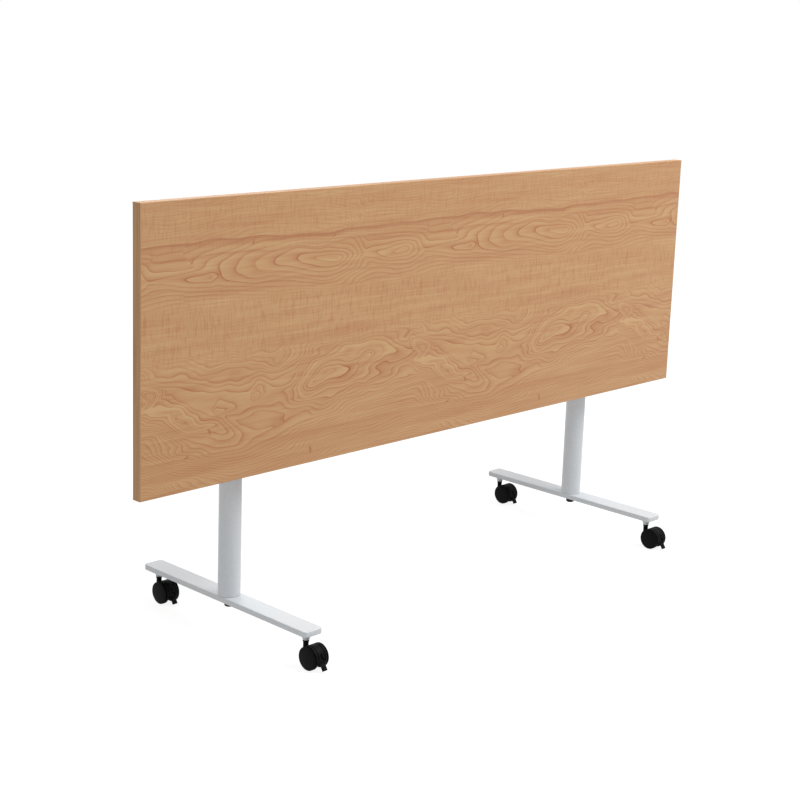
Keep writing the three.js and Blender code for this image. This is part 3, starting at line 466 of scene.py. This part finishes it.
# Calendered plastic: a flat satin, duller than the resin of the face.
sheen = add(tree, "MapRange", {"Value": streaks, "To Min": 0.40, "To Max": 0.54})
fill(tree, shader, {"Base Color": wood, "Roughness": sheen, "Specular IOR Level": 0.25})
print("edge band streaks", EDGE_STREAK, "mm wide")

# %% [markdown]
# ### Painted steel
# Legs, feet and beam are steel tube and flat bar, powder coated: the powder melts into a tough skin with a
# fine orange-peel. Silver powder has a little mica in it, which a slight metallic share gives. The brackets
# have the same coat in black. The peel is about 1 mm wide, too fine for the picture, so it is drawn 3 mm
# wide and shallow.

# %% Powder coats
PEEL, PEEL_RELIEF = mm(3, 0.4)
PEEL_GLOSS = 0.06


def powder_coat(name, slot, dark, light, metallic, rough, shine):
    """A mottled paint colour with an orange-peel bump that also makes its gloss a little uneven."""
    tree, shader, place = new_finish(name, slot)
    peel = add(tree, "TexNoise", {"Vector": place, "Scale": 1 / PEEL, "Detail": 2.0})
    mottle = add(tree, "ValToRGB", {"Fac": peel}, stops=[(0.30, linear(dark)), (0.70, linear(light))])
    gloss = add(tree, "MapRange", {"Value": peel, "To Min": rough - PEEL_GLOSS,
                                   "To Max": rough + PEEL_GLOSS})
    relief = add(tree, "Bump", {"Height": peel, "Strength": 0.12, "Distance": PEEL_RELIEF})
    fill(tree, shader, {"Base Color": mottle, "Roughness": gloss, "Normal": relief, "Metallic": metallic,
                        "Specular IOR Level": shine})


# Silver gives an even, pale satin without clear reflections; the black coat stays deep and dull.
powder_coat("silver_powder_coat", "silver_paint", "#D0D4D8", "#D8DCDF", 0.10, 0.45, 0.40)
powder_coat("black_powder_coat", "black_paint", "#0F1011", "#161718", 0.0, 0.50, 0.14)
print("powder coats in silver and black")

# %% [markdown]
# ### Moulded and turned small parts
# Castor hoods and wheels are glass-filled nylon out of a spark-eroded mould, so they have a fine matt
# grain. The bushes are natural acetal, waxy and faintly mottled. The grip is soft rubber. Rod, pawls, lock
# plates and screws are zinc-plated steel, which is bright but cloudy, with faint draw lines along the parts.

# %% Nylon, acetal and rubber
MOULD_GLOSS = 0.08


def moulded(name, slot, dark, light, grain, rough, relief, shine):
    """Two close tones mixed by a noise of the given grain in mm, with a bump of the same grain."""
    tree, shader, place = new_finish(name, slot)
    speckle = add(tree, "TexNoise", {"Vector": place, "Scale": 1 / (grain * MM), "Detail": 3.0})
    colour = add(tree, "Mix", {0: speckle, COLOUR_A: linear(dark), COLOUR_B: linear(light)},
                 data_type="RGBA")
    gloss = add(tree, "MapRange", {"Value": speckle, "To Min": rough - MOULD_GLOSS,
                                   "To Max": rough + MOULD_GLOSS})
    texture = add(tree, "Bump", {"Height": speckle, "Strength": 0.25, "Distance": relief * MM})
    fill(tree, shader, {"Base Color": colour.outputs[MIXED], "Roughness": gloss, "Normal": texture,
                        "Specular IOR Level": shine})


# Nylon is matt and almost without highlights, acetal has a soft wax gloss, and rubber is dull.
moulded("glass_filled_nylon", "black_nylon", "#0A0A0A", "#111111", 1.2, 0.50, 0.2, 0.06)
moulded("natural_acetal", "bush_polymer", "#E0DBCD", "#ECE8DC", 6, 0.40, 0.1, 0.50)
moulded("soft_rubber", "grip_rubber", "#1E1E1F", "#292929", 0.8, 0.78, 0.3, 0.25)
print("nylon, acetal and rubber")

# %% Zinc-plated steel
tree, shader, place = new_finish("zinc_plated_steel", "steel")
lines = add(tree, "Mapping", {"Vector": place, "Scale": cells(30, 0.8, 0.8)})
lines = add(tree, "TexNoise", {"Vector": lines, "Scale": 1.0, "Detail": 2.0})
# Bright but cloudy: both the tone and the gloss change along the draw lines.
cloudy = add(tree, "Mix", {0: lines, COLOUR_A: linear("#9CA1A6"), COLOUR_B: linear("#C9CDD0")},
             data_type="RGBA")
gloss = add(tree, "MapRange", {"Value": lines, "To Min": 0.26, "To Max": 0.44})
fill(tree, shader, {"Base Color": cloudy.outputs[MIXED], "Roughness": gloss, "Metallic": 1.0})
print("zinc-plated steel with draw lines")

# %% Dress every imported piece
slot_of = {part["node"]: part["material_slot"] for part in frame["record"]["subparts"]}
for name, thing in nodes.items():
    thing.data.materials.clear()
    thing.data.materials.append(finishes[slot_of[name]])
print({slot: sum(s == slot for s in slot_of.values()) for slot in finishes})

# %% [markdown]
# ## Surfaces from grids of points
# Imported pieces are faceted. Round ones that show are swapped for smooth surfaces. Each is a grid of points
# worked out as whole arrays: a profile turned round an axis, or an outline carried along one. Short helpers
# do it: one rounds corners, two draw the half sections of a bar and a tube, one joins a grid with faces,
# and two lay out the grids. A last one makes the object.

# %% Rounded corners
APART = 1e-9


def filleted(corners, radii, steps=6):
    """Rounds a closed line. Each arc's centre is on the corner's bisector, radius / sin(half angle) away,
    and its points turn evenly from one side to the other. A radius of 0 keeps the corner."""
    corner = np.array(corners, float)
    radius = np.broadcast_to(np.array(radii, float), len(corner))[:, None]
    back = np.roll(corner, 1, 0) - corner
    ahead = np.roll(corner, -1, 0) - corner
    back /= np.linalg.norm(back, axis=1, keepdims=True)
    ahead /= np.linalg.norm(ahead, axis=1, keepdims=True)
    half = np.arccos(np.clip((back * ahead).sum(1, keepdims=True), -1, 1)) / 2
    inward = back + ahead
    inward /= np.linalg.norm(inward, axis=1, keepdims=True)
    centre = corner + inward * radius / np.sin(half)
    first = corner + back * radius / np.tan(half) - centre
    last = corner + ahead * radius / np.tan(half) - centre
    turn = np.pi - 2 * half
    weight = np.sin(turn * np.linspace(0, 1, steps)) / np.sin(turn)
    arcs = centre[:, None] + first[:, None] * weight[:, ::-1, None] + last[:, None] * weight[:, :, None]
    line = arcs.reshape(-1, corner.shape[1])
    apart = np.linalg.norm(np.roll(line, -1, 0) - line, axis=1) > APART
    return line[apart]


def bar(radius, low, high, edge):
    """Half section of a round bar with rounded ends, as (radius, station) points."""
    return filleted([(0, low), (radius, low), (radius, high), (0, high)], [0, edge, edge, 0])


def tube(inner, outer, low, high, edge):
    """Half section of a tube with rounded ends, as (radius, station) points."""
    return filleted([(inner, low), (outer, low), (outer, high), (inner, high)], edge)


# %% A grid's faces
def skin(points, looped=False, capped=False):
    """Quads between neighbours of a grid whose columns close on themselves. With looped its rows do too,
    and capped fills its first and last rows."""
    rows, columns = points.shape[:2]
    index = np.arange(rows * columns).reshape(rows, columns)
    index = np.concatenate([index, index[:, :1]], 1)
    if looped:
        index = np.concatenate([index, index[:1]], 0)
    quads = np.stack([index[:-1, :-1], index[:-1, 1:], index[1:, 1:], index[1:, :-1]], -1)
    faces = quads.reshape(-1, 4).tolist()
    if capped:
        faces += [index[0, :-1].tolist()[::-1], index[-1, :-1].tolist()]
    return points.reshape(-1, 3), faces


# %% Turned and carried surfaces
def along_axis(axis, station, first, second):
    """A grid from its stations along an axis and its places in the two axes that follow it."""
    grid = np.stack(np.broadcast_arrays(station, first, second), -1)
    return np.roll(grid, "XYZ".index(axis), -1)


def revolve(profile, axis, centre, sides=96):
    """A point (radius, station) of the profile goes round to radius * (cos, sin) at that station."""
    radius, station = np.array(profile, float).T[:, :, None]
    turn = np.linspace(0, 2 * np.pi, sides, endpoint=False)
    grid = along_axis(axis, station, radius * np.cos(turn), radius * np.sin(turn))
    return skin(grid + centre, looped=radius.min() > 0)


def prism(outline, axis, levels, centre=(0, 0, 0)):
    """An outline of points in the two axes that follow axis, carried along it. levels are (inset, station)
    pairs: at each station the outline is drawn in by the inset along its own normals."""
    side = np.roll(outline, -1, 0) - np.roll(outline, 1, 0)
    turning = np.sign(np.sum(np.roll(outline, 1, 0) * outline[:, ::-1] * [1, -1]))
    normal = turning * np.stack([side[:, 1], -side[:, 0]], 1) / np.linalg.norm(side, axis=1, keepdims=True)
    inset, station = np.array(levels, float).T[:, :, None]
    ring = outline - inset[..., None] * normal
    return skin(along_axis(axis, station, ring[..., 0], ring[..., 1]) + centre, capped=True)


FLAT_RING = 1.3


def soft_edges(low, high, radius, steps=5):
    """(inset, station) pairs of a plate with quarter-round edges. One more ring inside each edge keeps its
    faces flat under smooth shading."""
    turn = np.linspace(0, np.pi / 2, steps)
    inset = radius * (1 - np.sin(turn))
    rise = radius * (1 - np.cos(turn))
    lower = np.stack([inset, low + rise], 1)
    upper = np.stack([inset, high - rise], 1)[::-1]
    return np.concatenate([[[FLAT_RING * radius, low]], lower, upper, [[FLAT_RING * radius, high]]])


# %% From shells to an object
COINCIDE = 1e-7


def piece(name, body, slot, shells, stands_for=(), crease=35):
    """One object from closed shells. In each, points that coincide become one, so that poles close, and the
    faces turn outwards. Edges sharper than crease, in degrees, stay crisp."""
    made = bmesh.new()
    for points, faces in shells:
        sheet = bpy.data.meshes.new(name)
        sheet.from_pydata(points, [], faces)
        loose = bmesh.new()
        loose.from_mesh(sheet)
        bmesh.ops.remove_doubles(loose, verts=loose.verts, dist=COINCIDE)
        bmesh.ops.recalc_face_normals(loose, faces=loose.faces)
        loose.to_mesh(sheet)
        loose.free()
        made.from_mesh(sheet)
        bpy.data.meshes.remove(sheet)
    mesh = bpy.data.meshes.new(name)
    made.to_mesh(mesh)
    made.free()
    mesh.shade_smooth()
    mesh.set_sharp_from_angle(angle=math.radians(crease))
    mesh.materials.append(finishes[slot])
    thing = bpy.data.objects.new(name, mesh)
    bpy.context.scene.collection.objects.link(thing)
    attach(thing, body)
    if stands_for:
        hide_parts(*stands_for)


# %% [markdown]
# ## Legs
# Each leg is a round tube standing on a flat bar. Under the bar, near each end, a short tapered boss is
# welded on for a castor's stem, and a black bolt comes up through the bar into the tube. The tube and the
# bosses are turned profiles, with the weld drawn as a flare, and the bar is a rounded outline carried
# upwards with soft edges.

# %% Columns
COLUMN_RADIUS, COLUMN_WALL, COLUMN_EDGE = mm(25, 2, 0.6)
for hand in hands:
    low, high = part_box(f"column_{hand}")
    x, y = middle(f"column_{hand}")[:2]
    wall = tube(COLUMN_RADIUS - COLUMN_WALL, COLUMN_RADIUS, low.z, high.z, COLUMN_EDGE)
    shell = revolve(wall, "Z", (x, y, 0), 128)
    piece(f"tube_column_{hand}", "frame", "silver_paint", [shell], [f"column_{hand}"])
print("columns", round((high.z - low.z) / MM), "mm tall")

# %% Feet with their castor bosses
FOOT_THICK, FOOT_CORNER, FOOT_EDGE = mm(13, 8, 2)
BOSS_BOTTOM, BOSS_TOP, BOSS_WELD, BOSS_EDGE, WELD_EDGE = mm(7, 11, 2, 0.8, 0.3)
weld_rim = BOSS_TOP + BOSS_WELD
for hand in hands:
    low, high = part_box(f"foot_bar_{hand}")
    plate_low = high.z - FOOT_THICK
    corners = [(low.x, low.y), (high.x, low.y), (high.x, high.y), (low.x, high.y)]
    outline = filleted(corners, FOOT_CORNER, 9)
    shells = [prism(outline, "Z", soft_edges(plate_low, high.z, FOOT_EDGE))]
    boss = [(0, low.z), (BOSS_BOTTOM, low.z), (BOSS_TOP, plate_low - BOSS_WELD),
            (weld_rim, plate_low), (weld_rim, plate_low + BOSS_WELD), (0, plate_low + BOSS_WELD)]
    boss = filleted(boss, [0, BOSS_EDGE, BOSS_WELD, WELD_EDGE, 0, 0])
    for end in ends:
        x, y = middle(f"{end}_{hand}_castor_stem")[:2]
        shells.append(revolve(boss, "Z", (x, y, 0), 48))
    piece(f"flat_foot_{hand}", "frame", "silver_paint", shells, [f"foot_bar_{hand}"])
print("feet", round((high.y - low.y) / MM), "mm long")

# %% [markdown]
# ## Screws and bolts
# A screw head is turned, but its drive recess is not round. So its grid is a turned one whose last rows
# follow another radius: six flats for a hexagon key, or four lobes for a cross.

# %% Heads with a drive recess
LOBE_MEAN, LOBE_SWING = 0.62, 0.38


def screw(radius, tall, recess, deep, axis, foot, way=1, sides=48, cross=False):
    """A head with a rounded edge, of the given radius and height, standing on foot. Its recess has radius
    recess / cos(angle from the nearest flat's middle), or for a cross recess times the lobes' mean plus
    their swing * cos(4 angle)."""
    turn = np.linspace(0, 2 * np.pi, sides, endpoint=False)
    edge = min(radius, tall) / 3
    rim = filleted([(0, 0), (radius, 0), (radius, tall), (0, tall)], [0, 0, edge, 0])
    rim = rim[rim[:, 0] > 0]
    key = recess / np.cos((turn + np.pi / 6) % (np.pi / 3) - np.pi / 6)
    lobes = recess * (LOBE_MEAN + LOBE_SWING * np.cos(4 * turn))
    drive = lobes if cross else key
    around = np.concatenate([[0 * turn], rim[:, :1] + 0 * turn, [drive, drive, 0 * turn]])
    station = np.concatenate([[0], rim[:, 1], [tall, tall - deep, tall - deep]])[:, None]
    grid = along_axis(axis, way * station, around * np.cos(turn), around * np.sin(turn))
    return skin(grid + np.array(foot))


BOLT_RADIUS, BOLT_HEIGHT, BOLT_KEY, BOLT_SOCKET = mm(10.5, 13.7, 4, 6)
for hand in hands:
    x, y = middle(f"column_bolt_{hand}")[:2]
    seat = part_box(f"column_bolt_{hand}")[0].z + BOLT_HEIGHT
    shell = screw(BOLT_RADIUS, BOLT_HEIGHT, BOLT_KEY, BOLT_SOCKET, "Z", (x, y, seat), -1)
    piece(f"column_bolt_head_{hand}", "frame", "black_paint", [shell], [f"column_bolt_{hand}"])
print("two column bolts with", 2 * BOLT_KEY / MM, "mm sockets")

# %% [markdown]
# ## Castors
# A twin-wheel castor has a domed hood between two wheels. The hood's neck turns on the stem behind the
# axle, and a wide brake lever comes out of an opening in its front wall, with a narrow slot above it. The
# wheels are turned profiles: a tread, a gap that looks black, and a face disc with a shallow ring groove.
# The hood is a U-shaped section carried round the axle: whole from the slot's top over to the rear, halved
# beside the slot, and a narrow strip on each side of the opening. The lever is bent down outside it, and a
# shield bowed round the lever's own pivot closes the opening at any tilt.

# %% Wheels
WHEEL_INNER, WHEEL_OUTER, WHEEL_DOME = mm(9.8, 22, 1.6)
BORE, BORE_END = mm(3.3, 19.9)
GAP, GAP_DEEP, FACE_THICK = mm(3.2, 5, 2)
BEVEL_IN, BEVEL_BACK = mm(1.6, 1.2)
GROOVE_RADIUS, GROOVE = mm(21.5, 0.5)
# How far the face stands out from its rim at the groove's outer edge, bottom and inner edge.
GROOVE_OUT, GROOVE_BOTTOM, GROOVE_IN = mm(0.4, -0.2, 0.6)
HUB_RADIUS, HUB_DROP = mm(9, 0.3)
wheel_rounds = mm(0, 0, 0.3, 1.2, 0.2, 0.1, 0.1, 0.2, 0.6, 1.0, 0.2, 0.2, 0.3, 6.0, 0)
rim = WHEEL_OUTER - WHEEL_DOME
gap = rim - FACE_THICK
for castor in castors:
    axle = middle(f"{castor}_castor_axle")
    rolling = axle[2]
    profile = [(0, BORE_END), (BORE, BORE_END), (BORE, WHEEL_INNER), (rolling, WHEEL_INNER),
               (rolling, gap - GAP), (rolling - GAP_DEEP, gap - GAP), (rolling - GAP_DEEP, gap),
               (rolling, gap), (rolling, rim - BEVEL_BACK), (rolling - BEVEL_IN, rim),
               (GROOVE_RADIUS + GROOVE, rim + GROOVE_OUT), (GROOVE_RADIUS, rim + GROOVE_BOTTOM),
               (GROOVE_RADIUS - GROOVE, rim + GROOVE_IN), (HUB_RADIUS, WHEEL_OUTER - HUB_DROP),
               (0, WHEEL_OUTER)]
    profile = filleted(profile, wheel_rounds, 5)
    for hand, side in hands.items():
        wheel = f"{castor}_wheel_{hand}"
        shell = revolve(profile * [1, side], "X", axle, 72)
        piece(f"{castor}_tread_{hand}", wheel, "black_nylon", [shell], [wheel])
print("eight wheels of", round(2 * rolling / MM, 1), "mm")

# %% The hood's sections
HOOD_HALF, HOOD_RADIUS, HOOD_WALL, HOOD_HUB, HOOD_SKIRT = mm(9, 25.7, 2.4, 3.6, 12)
SLOT_HALF, SLOT_TOP, NOSE_HALF, NOSE_TOP = mm(6.8, 3, 2, 13)
cheek = HOOD_HALF - HOOD_WALL
roof = HOOD_RADIUS - HOOD_WALL
whole = [(-HOOD_HALF, HOOD_HUB), (-HOOD_HALF, HOOD_RADIUS), (HOOD_HALF, HOOD_RADIUS), (HOOD_HALF, HOOD_HUB),
         (cheek, HOOD_HUB), (cheek, roof), (-cheek, roof), (-cheek, HOOD_HUB)]
whole = filleted(whole, mm(0.3, 1.4, 1.4, 0.3, 0.3, 0.6, 0.6, 0.3))
half = [(NOSE_HALF, roof), (NOSE_HALF, HOOD_RADIUS), (HOOD_HALF, HOOD_RADIUS), (HOOD_HALF, HOOD_HUB),
        (cheek, HOOD_HUB), (cheek, roof)]
half = filleted(half, mm(0.3, 0.5, 1.4, 0.3, 0.3, 0.6))
strip = [(SLOT_HALF, HOOD_HUB), (SLOT_HALF, HOOD_RADIUS), (HOOD_HALF, HOOD_RADIUS), (HOOD_HALF, HOOD_HUB)]
strip = filleted(strip, mm(0.3, 0.4, 1.4, 0.3))


def hood_angle(height):
    """Degrees from the front, round the axle, at which the hood's outside is this high above the axle."""
    return math.degrees(math.asin(height / HOOD_RADIUS))


def carried_round(section, start, end, centre, steps=48):
    """A section of (x, radius) points carried round X: at angle a, from the front upwards, a point goes to
    (x, -radius cos a, radius sin a)."""
    turn = np.radians(np.linspace(start, end, steps))[:, None]
    x, radius = section.T
    return skin(along_axis("X", x, -radius * np.cos(turn), radius * np.sin(turn)) + centre, capped=True)


# %% Hoods and necks
NECK, COLLAR, COLLAR_HEIGHT, NECK_ROOT = mm(6, 7, 5, 3)
slot_top = hood_angle(SLOT_TOP)
nose_top = hood_angle(NOSE_TOP)
for castor in castors:
    axle = middle(f"{castor}_castor_axle")
    x, y = middle(f"{castor}_castor_stem")[:2]
    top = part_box(f"{castor}_castor_hood")[1].z
    root = axle[2] - NECK_ROOT
    skirt = hood_angle(HOOD_SKIRT - axle[2])
    neck = [(0, root), (NECK, root), (NECK, top - COLLAR_HEIGHT), (COLLAR, top - COLLAR_HEIGHT / 2),
            (COLLAR, top), (0, top)]
    neck = filleted(neck, mm(0, 1, 1.2, 0.6, 0.8, 0))
    shells = [carried_round(whole, nose_top, 180 - skirt, axle), revolve(neck, "Z", (x, y, 0), 48)]
    for side in hands.values():
        shells.append(carried_round(half * [side, 1], slot_top, nose_top, axle, 16))
        shells.append(carried_round(strip * [side, 1], skirt, slot_top, axle, 16))
    piece(f"{castor}_hood_shell", f"{castor}_castor", "black_nylon", shells, [f"{castor}_castor_hood"])
print("hoods", 2 * HOOD_HALF / MM, "mm wide between the wheels")

# %% Brake levers
LEVER_HALF, LEVER_EDGE = mm(6.2, 0.7)
LEVER_PIVOT = mm(-12, -4)
LEVER_HUB, LEVER_HUB_EDGE, LEVER_PIN, LEVER_PIN_END, LEVER_PIN_EDGE = mm(3.6, 0.5, 1.8, 8.5, 0.3)
SHIELD_OUTER, SHIELD_INNER, SHIELD_EDGE = mm(12.2, 11.0, 0.3)
SHIELD_FROM, SHIELD_TO = -22, 32
# The arm's side, bent down outside the hood, as (y, z) from the axle.
bent = mm((-36.7, -20.0), (-30.4, -9.4), (-12.8, -2.2), (-11.2, -5.8), (-27.6, -12.6), (-33.3, -22.0))
arm = filleted(bent, mm(1, 3, 1, 1, 2, 1))
turn = np.radians(np.linspace(SHIELD_FROM, SHIELD_TO, 15))
bow = np.stack([-np.cos(turn), np.sin(turn)], 1)
shield = np.concatenate([SHIELD_OUTER * bow, SHIELD_INNER * bow[::-1]])
hub = bar(LEVER_HUB, -LEVER_HALF, LEVER_HALF, LEVER_HUB_EDGE)
pin = bar(LEVER_PIN, -LEVER_PIN_END, LEVER_PIN_END, LEVER_PIN_EDGE)
for castor in castors:
    axle = middle(f"{castor}_castor_axle")
    hub_place = axle + [0, *LEVER_PIVOT]
    shells = [prism(arm, "X", soft_edges(-LEVER_HALF, LEVER_HALF, LEVER_EDGE), axle),
              prism(shield, "X", soft_edges(-LEVER_HALF, LEVER_HALF, SHIELD_EDGE), hub_place),
              revolve(hub, "X", hub_place, 32), revolve(pin, "X", hub_place, 24)]
    piece(f"{castor}_brake_tab", f"{castor}_brake", "black_nylon", shells, [f"{castor}_brake_lever"])
print("brake levers reach", round(-bent[:, 0].min() / MM, 1), "mm in front of the axle")

# %% [markdown]
# ## Flip axis
# Behind the top, a painted tube runs through a head on each column. The top's brackets clamp round it over
# white bushes. All of these are turned: the tube, its end caps and the bushes along the axis, and each head
# as a barrel on the axis with a turned neck below it.

# %% Beam
BEAM_RADIUS, BEAM_WALL, BEAM_EDGE = mm(20, 2, 0.5)
low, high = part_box("cross_beam")
beam_end = high.x
on_axis = np.array([0, pivot[1], pivot[2]])
wall = tube(BEAM_RADIUS - BEAM_WALL, BEAM_RADIUS, low.x, high.x, BEAM_EDGE)
piece("cross_tube", "frame", "silver_paint", [revolve(wall, "X", on_axis)], ["cross_beam"])
print("beam", round((high.x - low.x) / MM), "mm long")


# %% Caps and bushes
def from_middle(node):
    """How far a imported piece's near and far ends lie from the table's middle, along X."""
    low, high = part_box(node)
    return sorted([abs(low.x), abs(high.x)])


CAP_EDGE, CAP_LIP, SPIGOT_FIT = mm(1.5, 0.3, 0.3)
BUSH_BORE, BUSH_OUTER, BUSH_FLANGE, BUSH_FLANGE_LENGTH = mm(20.3, 23, 27, 4)
spigot = BEAM_RADIUS - BEAM_WALL - SPIGOT_FIT
for hand, side in hands.items():
    near, far = from_middle(f"beam_cap_{hand}")
    cap = [(0, near), (spigot, near), (spigot, beam_end), (BEAM_RADIUS, beam_end), (BEAM_RADIUS, far),
           (0, far)]
    shell = revolve(filleted(cap, [0, 0, 0, CAP_LIP, CAP_EDGE, 0]) * [1, side], "X", on_axis, 64)
    piece(f"tube_end_cap_{hand}", "frame", "black_nylon", [shell], [f"beam_cap_{hand}"])
    near, far = from_middle(f"pivot_bush_{hand}")
    step = near + BUSH_FLANGE_LENGTH
    bush = [(BUSH_BORE, near), (BUSH_FLANGE, near), (BUSH_FLANGE, step), (BUSH_OUTER, step),
            (BUSH_OUTER, far), (BUSH_BORE, far)]
    shell = revolve(filleted(bush, mm(0.4, 0.8, 0.4, 0.2, 0.4, 0.4)) * [1, side], "X", on_axis, 64)
    piece(f"flanged_bush_{hand}", "top", "bush_polymer", [shell], [f"pivot_bush_{hand}"])
print("two caps and two bushes")

# %% Column heads
HEAD_RADIUS, HEAD_BORE, HEAD_EDGE, HEAD_NECK = mm(29.3, 20.3, 2, 22)
HEAD_SEAT, HEAD_LIP, NECK_COVER = mm(0.3, 3, 1)
SET_SCREW, SET_SCREW_HEIGHT, SET_SCREW_KEY, SET_SCREW_SOCKET, SET_SCREW_SUNK = mm(5, 2.5, 2.2, 2, 1)
shoulder = pivot[2] - HEAD_RADIUS + HEAD_LIP
inside = pivot[2] - HEAD_BORE - NECK_COVER
for hand in hands:
    low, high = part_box(f"column_head_{hand}")
    x = (low.x + high.x) / 2
    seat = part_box(f"column_{hand}")[1].z + HEAD_SEAT
    barrel = tube(HEAD_BORE, HEAD_RADIUS, low.x, high.x, HEAD_EDGE)
    neck = [(0, seat), (COLUMN_RADIUS, seat), (COLUMN_RADIUS, seat + HEAD_LIP), (HEAD_NECK, shoulder),
            (HEAD_NECK, inside), (0, inside)]
    neck = filleted(neck, mm(0, 0.5, 1.5, 2.0, 0, 0))
    shells = [revolve(barrel, "X", on_axis), revolve(neck, "Z", (x, pivot[1], 0))]
    piece(f"cast_head_{hand}", "frame", "silver_paint", shells, [f"column_head_{hand}"])
    rear = (x, pivot[1] + HEAD_RADIUS - SET_SCREW_SUNK, pivot[2])
    shell = screw(SET_SCREW, SET_SCREW_HEIGHT, SET_SCREW_KEY, SET_SCREW_SOCKET, "Y", rear)
    piece(f"head_set_screw_{hand}", "frame", "steel", [shell])
print("column heads", round((high.x - low.x) / MM), "mm long")

# %% [markdown]
# ## Lock and release
# A rod runs the length between the brackets. It carries a pawl at each end, a squeeze lever in the middle
# and a coiled return spring beside each pawl. The rod is turned, the spring is a round wire carried along a
# path that ends in a hook and a straight foot, and the grip is a rounded sleeve with ribs for the fingers.

# %% Rod
ROD_RADIUS, ROD_EDGE = mm(5, 1)
low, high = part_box("release_rod")
shell = revolve(bar(ROD_RADIUS, low.x, high.x, ROD_EDGE), "X", (0, rod[1], rod[2]), 48)
piece("round_release_rod", "release_bar", "steel", [shell], ["release_rod"])
print("rod", round((high.x - low.x) / MM), "mm long")


# %% Springs
def wire(path, radius, sides=12):
    """A round wire: at each point of the path a circle in the plane square to it. The circle's first axis is
    a fixed slanted direction with its part along the path taken away."""
    along = np.gradient(path, axis=0)
    along /= np.linalg.norm(along, axis=1, keepdims=True)
    slanted = np.array([0.6, 0.0, 0.8])
    first = slanted - (along @ slanted)[:, None] * along
    first /= np.linalg.norm(first, axis=1, keepdims=True)
    second = np.cross(along, first)
    turn = np.linspace(0, 2 * np.pi, sides, endpoint=False)[:, None]
    ring = first[:, None] * np.cos(turn) + second[:, None] * np.sin(turn)
    return skin(path[:, None] + radius * ring, capped=True)


WIRE_RADIUS, COIL_RADIUS, COIL_PITCH, COIL_GAP = mm(0.9, 6.9, 2.6, 1.4)
CURLS, CURL_POINTS = 5.25, 24
HOOK, HOOK_ROUND, FOOT, FOOT_GAP = mm(14, 2, 22, 0.3)
turn = np.linspace(0, 2 * np.pi * CURLS, round(CURL_POINTS * CURLS))
around = np.stack([-COIL_RADIUS * np.sin(turn), COIL_RADIUS * np.cos(turn)], 1)
foot_y = underside - rod[1] + FOOT_GAP + WIRE_RADIUS
for hand, side in hands.items():
    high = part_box(f"release_spring_{hand}")[1]
    start = from_middle(f"lock_quadrant_{hand}")[0] - COIL_GAP - WIRE_RADIUS
    reach = from_middle(f"release_spring_{hand}")[1]
    hook_z = high.z - rod[2] - WIRE_RADIUS
    hook = [(start - 2 * COIL_RADIUS, 0, COIL_RADIUS), (start, 0, COIL_RADIUS), (start, HOOK, hook_z),
            (reach, HOOK, hook_z)]
    hook = filleted(hook, [0, 0, HOOK_ROUND, 0])[1:]
    coil = np.column_stack([start - COIL_PITCH * turn / (2 * np.pi), around])
    foot = [[coil[-1, 0], foot_y, -FOOT]]
    path = np.concatenate([hook[::-1], coil[1:], foot]) * [side, 1, 1] + [0, rod[1], rod[2]]
    piece(f"coiled_spring_{hand}", "top", "steel", [wire(path, WIRE_RADIUS)], [f"release_spring_{hand}"], 60)
print("springs of", CURLS, "curls")

# %% Grip
RIBS, RIB_DEPTH, RIB_SPAN = 9, 0.7 * MM, 0.75
END_POWER, END_WIDTH = 8, 0.72
low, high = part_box("handle_grip")
half_size = np.array((high - low) / 2)
along = np.linspace(-1, 1, 121)
# 1 along the grip, and down to 0 at its ends as (1 - along ** 8) ** 0.5.
end_round = np.clip(1 - np.abs(along) ** END_POWER, 0, 1) ** 0.5
ribbed = 1 - np.cos(np.clip(along / RIB_SPAN, -1, 1) * np.pi * RIBS)
inset = RIB_DEPTH * ribbed / 2
turn = np.linspace(0, 2 * np.pi, 72, endpoint=False)
# A rounded square: (cos ** 4 + sin ** 4) ** -0.25 times the circle.
square = (np.abs(np.cos(turn)) ** 4 + np.abs(np.sin(turn)) ** 4) ** -0.25
narrowed = (END_WIDTH + (1 - END_WIDTH) * end_round) * (end_round > 0)
width = (half_size[0] * narrowed - inset)[:, None] * square * np.cos(turn)
thick = ((half_size[1] - inset) * end_round)[:, None] * square * np.sin(turn)
grid = np.stack(np.broadcast_arrays(width, thick, (along * half_size[2])[:, None]), -1)
shell = skin(grid + middle("handle_grip"), capped=True)
piece("ribbed_grip", "release_bar", "grip_rubber", [shell], ["handle_grip"], 50)
print("grip with", RIBS, "ribs")

# %% [markdown]
# ## Fasteners under the top
# Each bracket is held by pan-head screws into the board, in pairs on both sides of its rib, and its clamp
# half by two socket screws. They are small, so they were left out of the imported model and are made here.

# %% Bracket and clamp screws
PAN_RADIUS, PAN_HEIGHT, PAN_CROSS, PAN_DEEP = mm(4.5, 2.6, 2.6, 1.4)
BASE_THICK, SCREW_SIDE = mm(4, 11)
screw_heights = pivot[2] + mm(-200, -115, 115, 200)
CLAMP_RADIUS, CLAMP_HEIGHT, CLAMP_KEY, CLAMP_DEEP = mm(4, 5, 2, 2.5)
CLAMP_EDGE, CLAMP_EAR = mm(5, 8)
for hand in hands:
    x = middle(f"top_bracket_{hand}")[0]
    seat = underside + BASE_THICK
    places = [(x + side * SCREW_SIDE, seat, z) for z in screw_heights for side in hands.values()]
    shells = [screw(PAN_RADIUS, PAN_HEIGHT, PAN_CROSS, PAN_DEEP, "Y", place, cross=True) for place in places]
    piece(f"bracket_screws_{hand}", "top", "steel", shells)
    low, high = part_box(f"bracket_cap_{hand}")
    places = [(x, low.y + CLAMP_EAR, z) for z in (low.z + CLAMP_EDGE, high.z - CLAMP_EDGE)]
    shells = [screw(CLAMP_RADIUS, CLAMP_HEIGHT, CLAMP_KEY, CLAMP_DEEP, "Y", place) for place in places]
    piece(f"clamp_screws_{hand}", "top", "steel", shells)
print("16 bracket screws and 4 clamp screws")
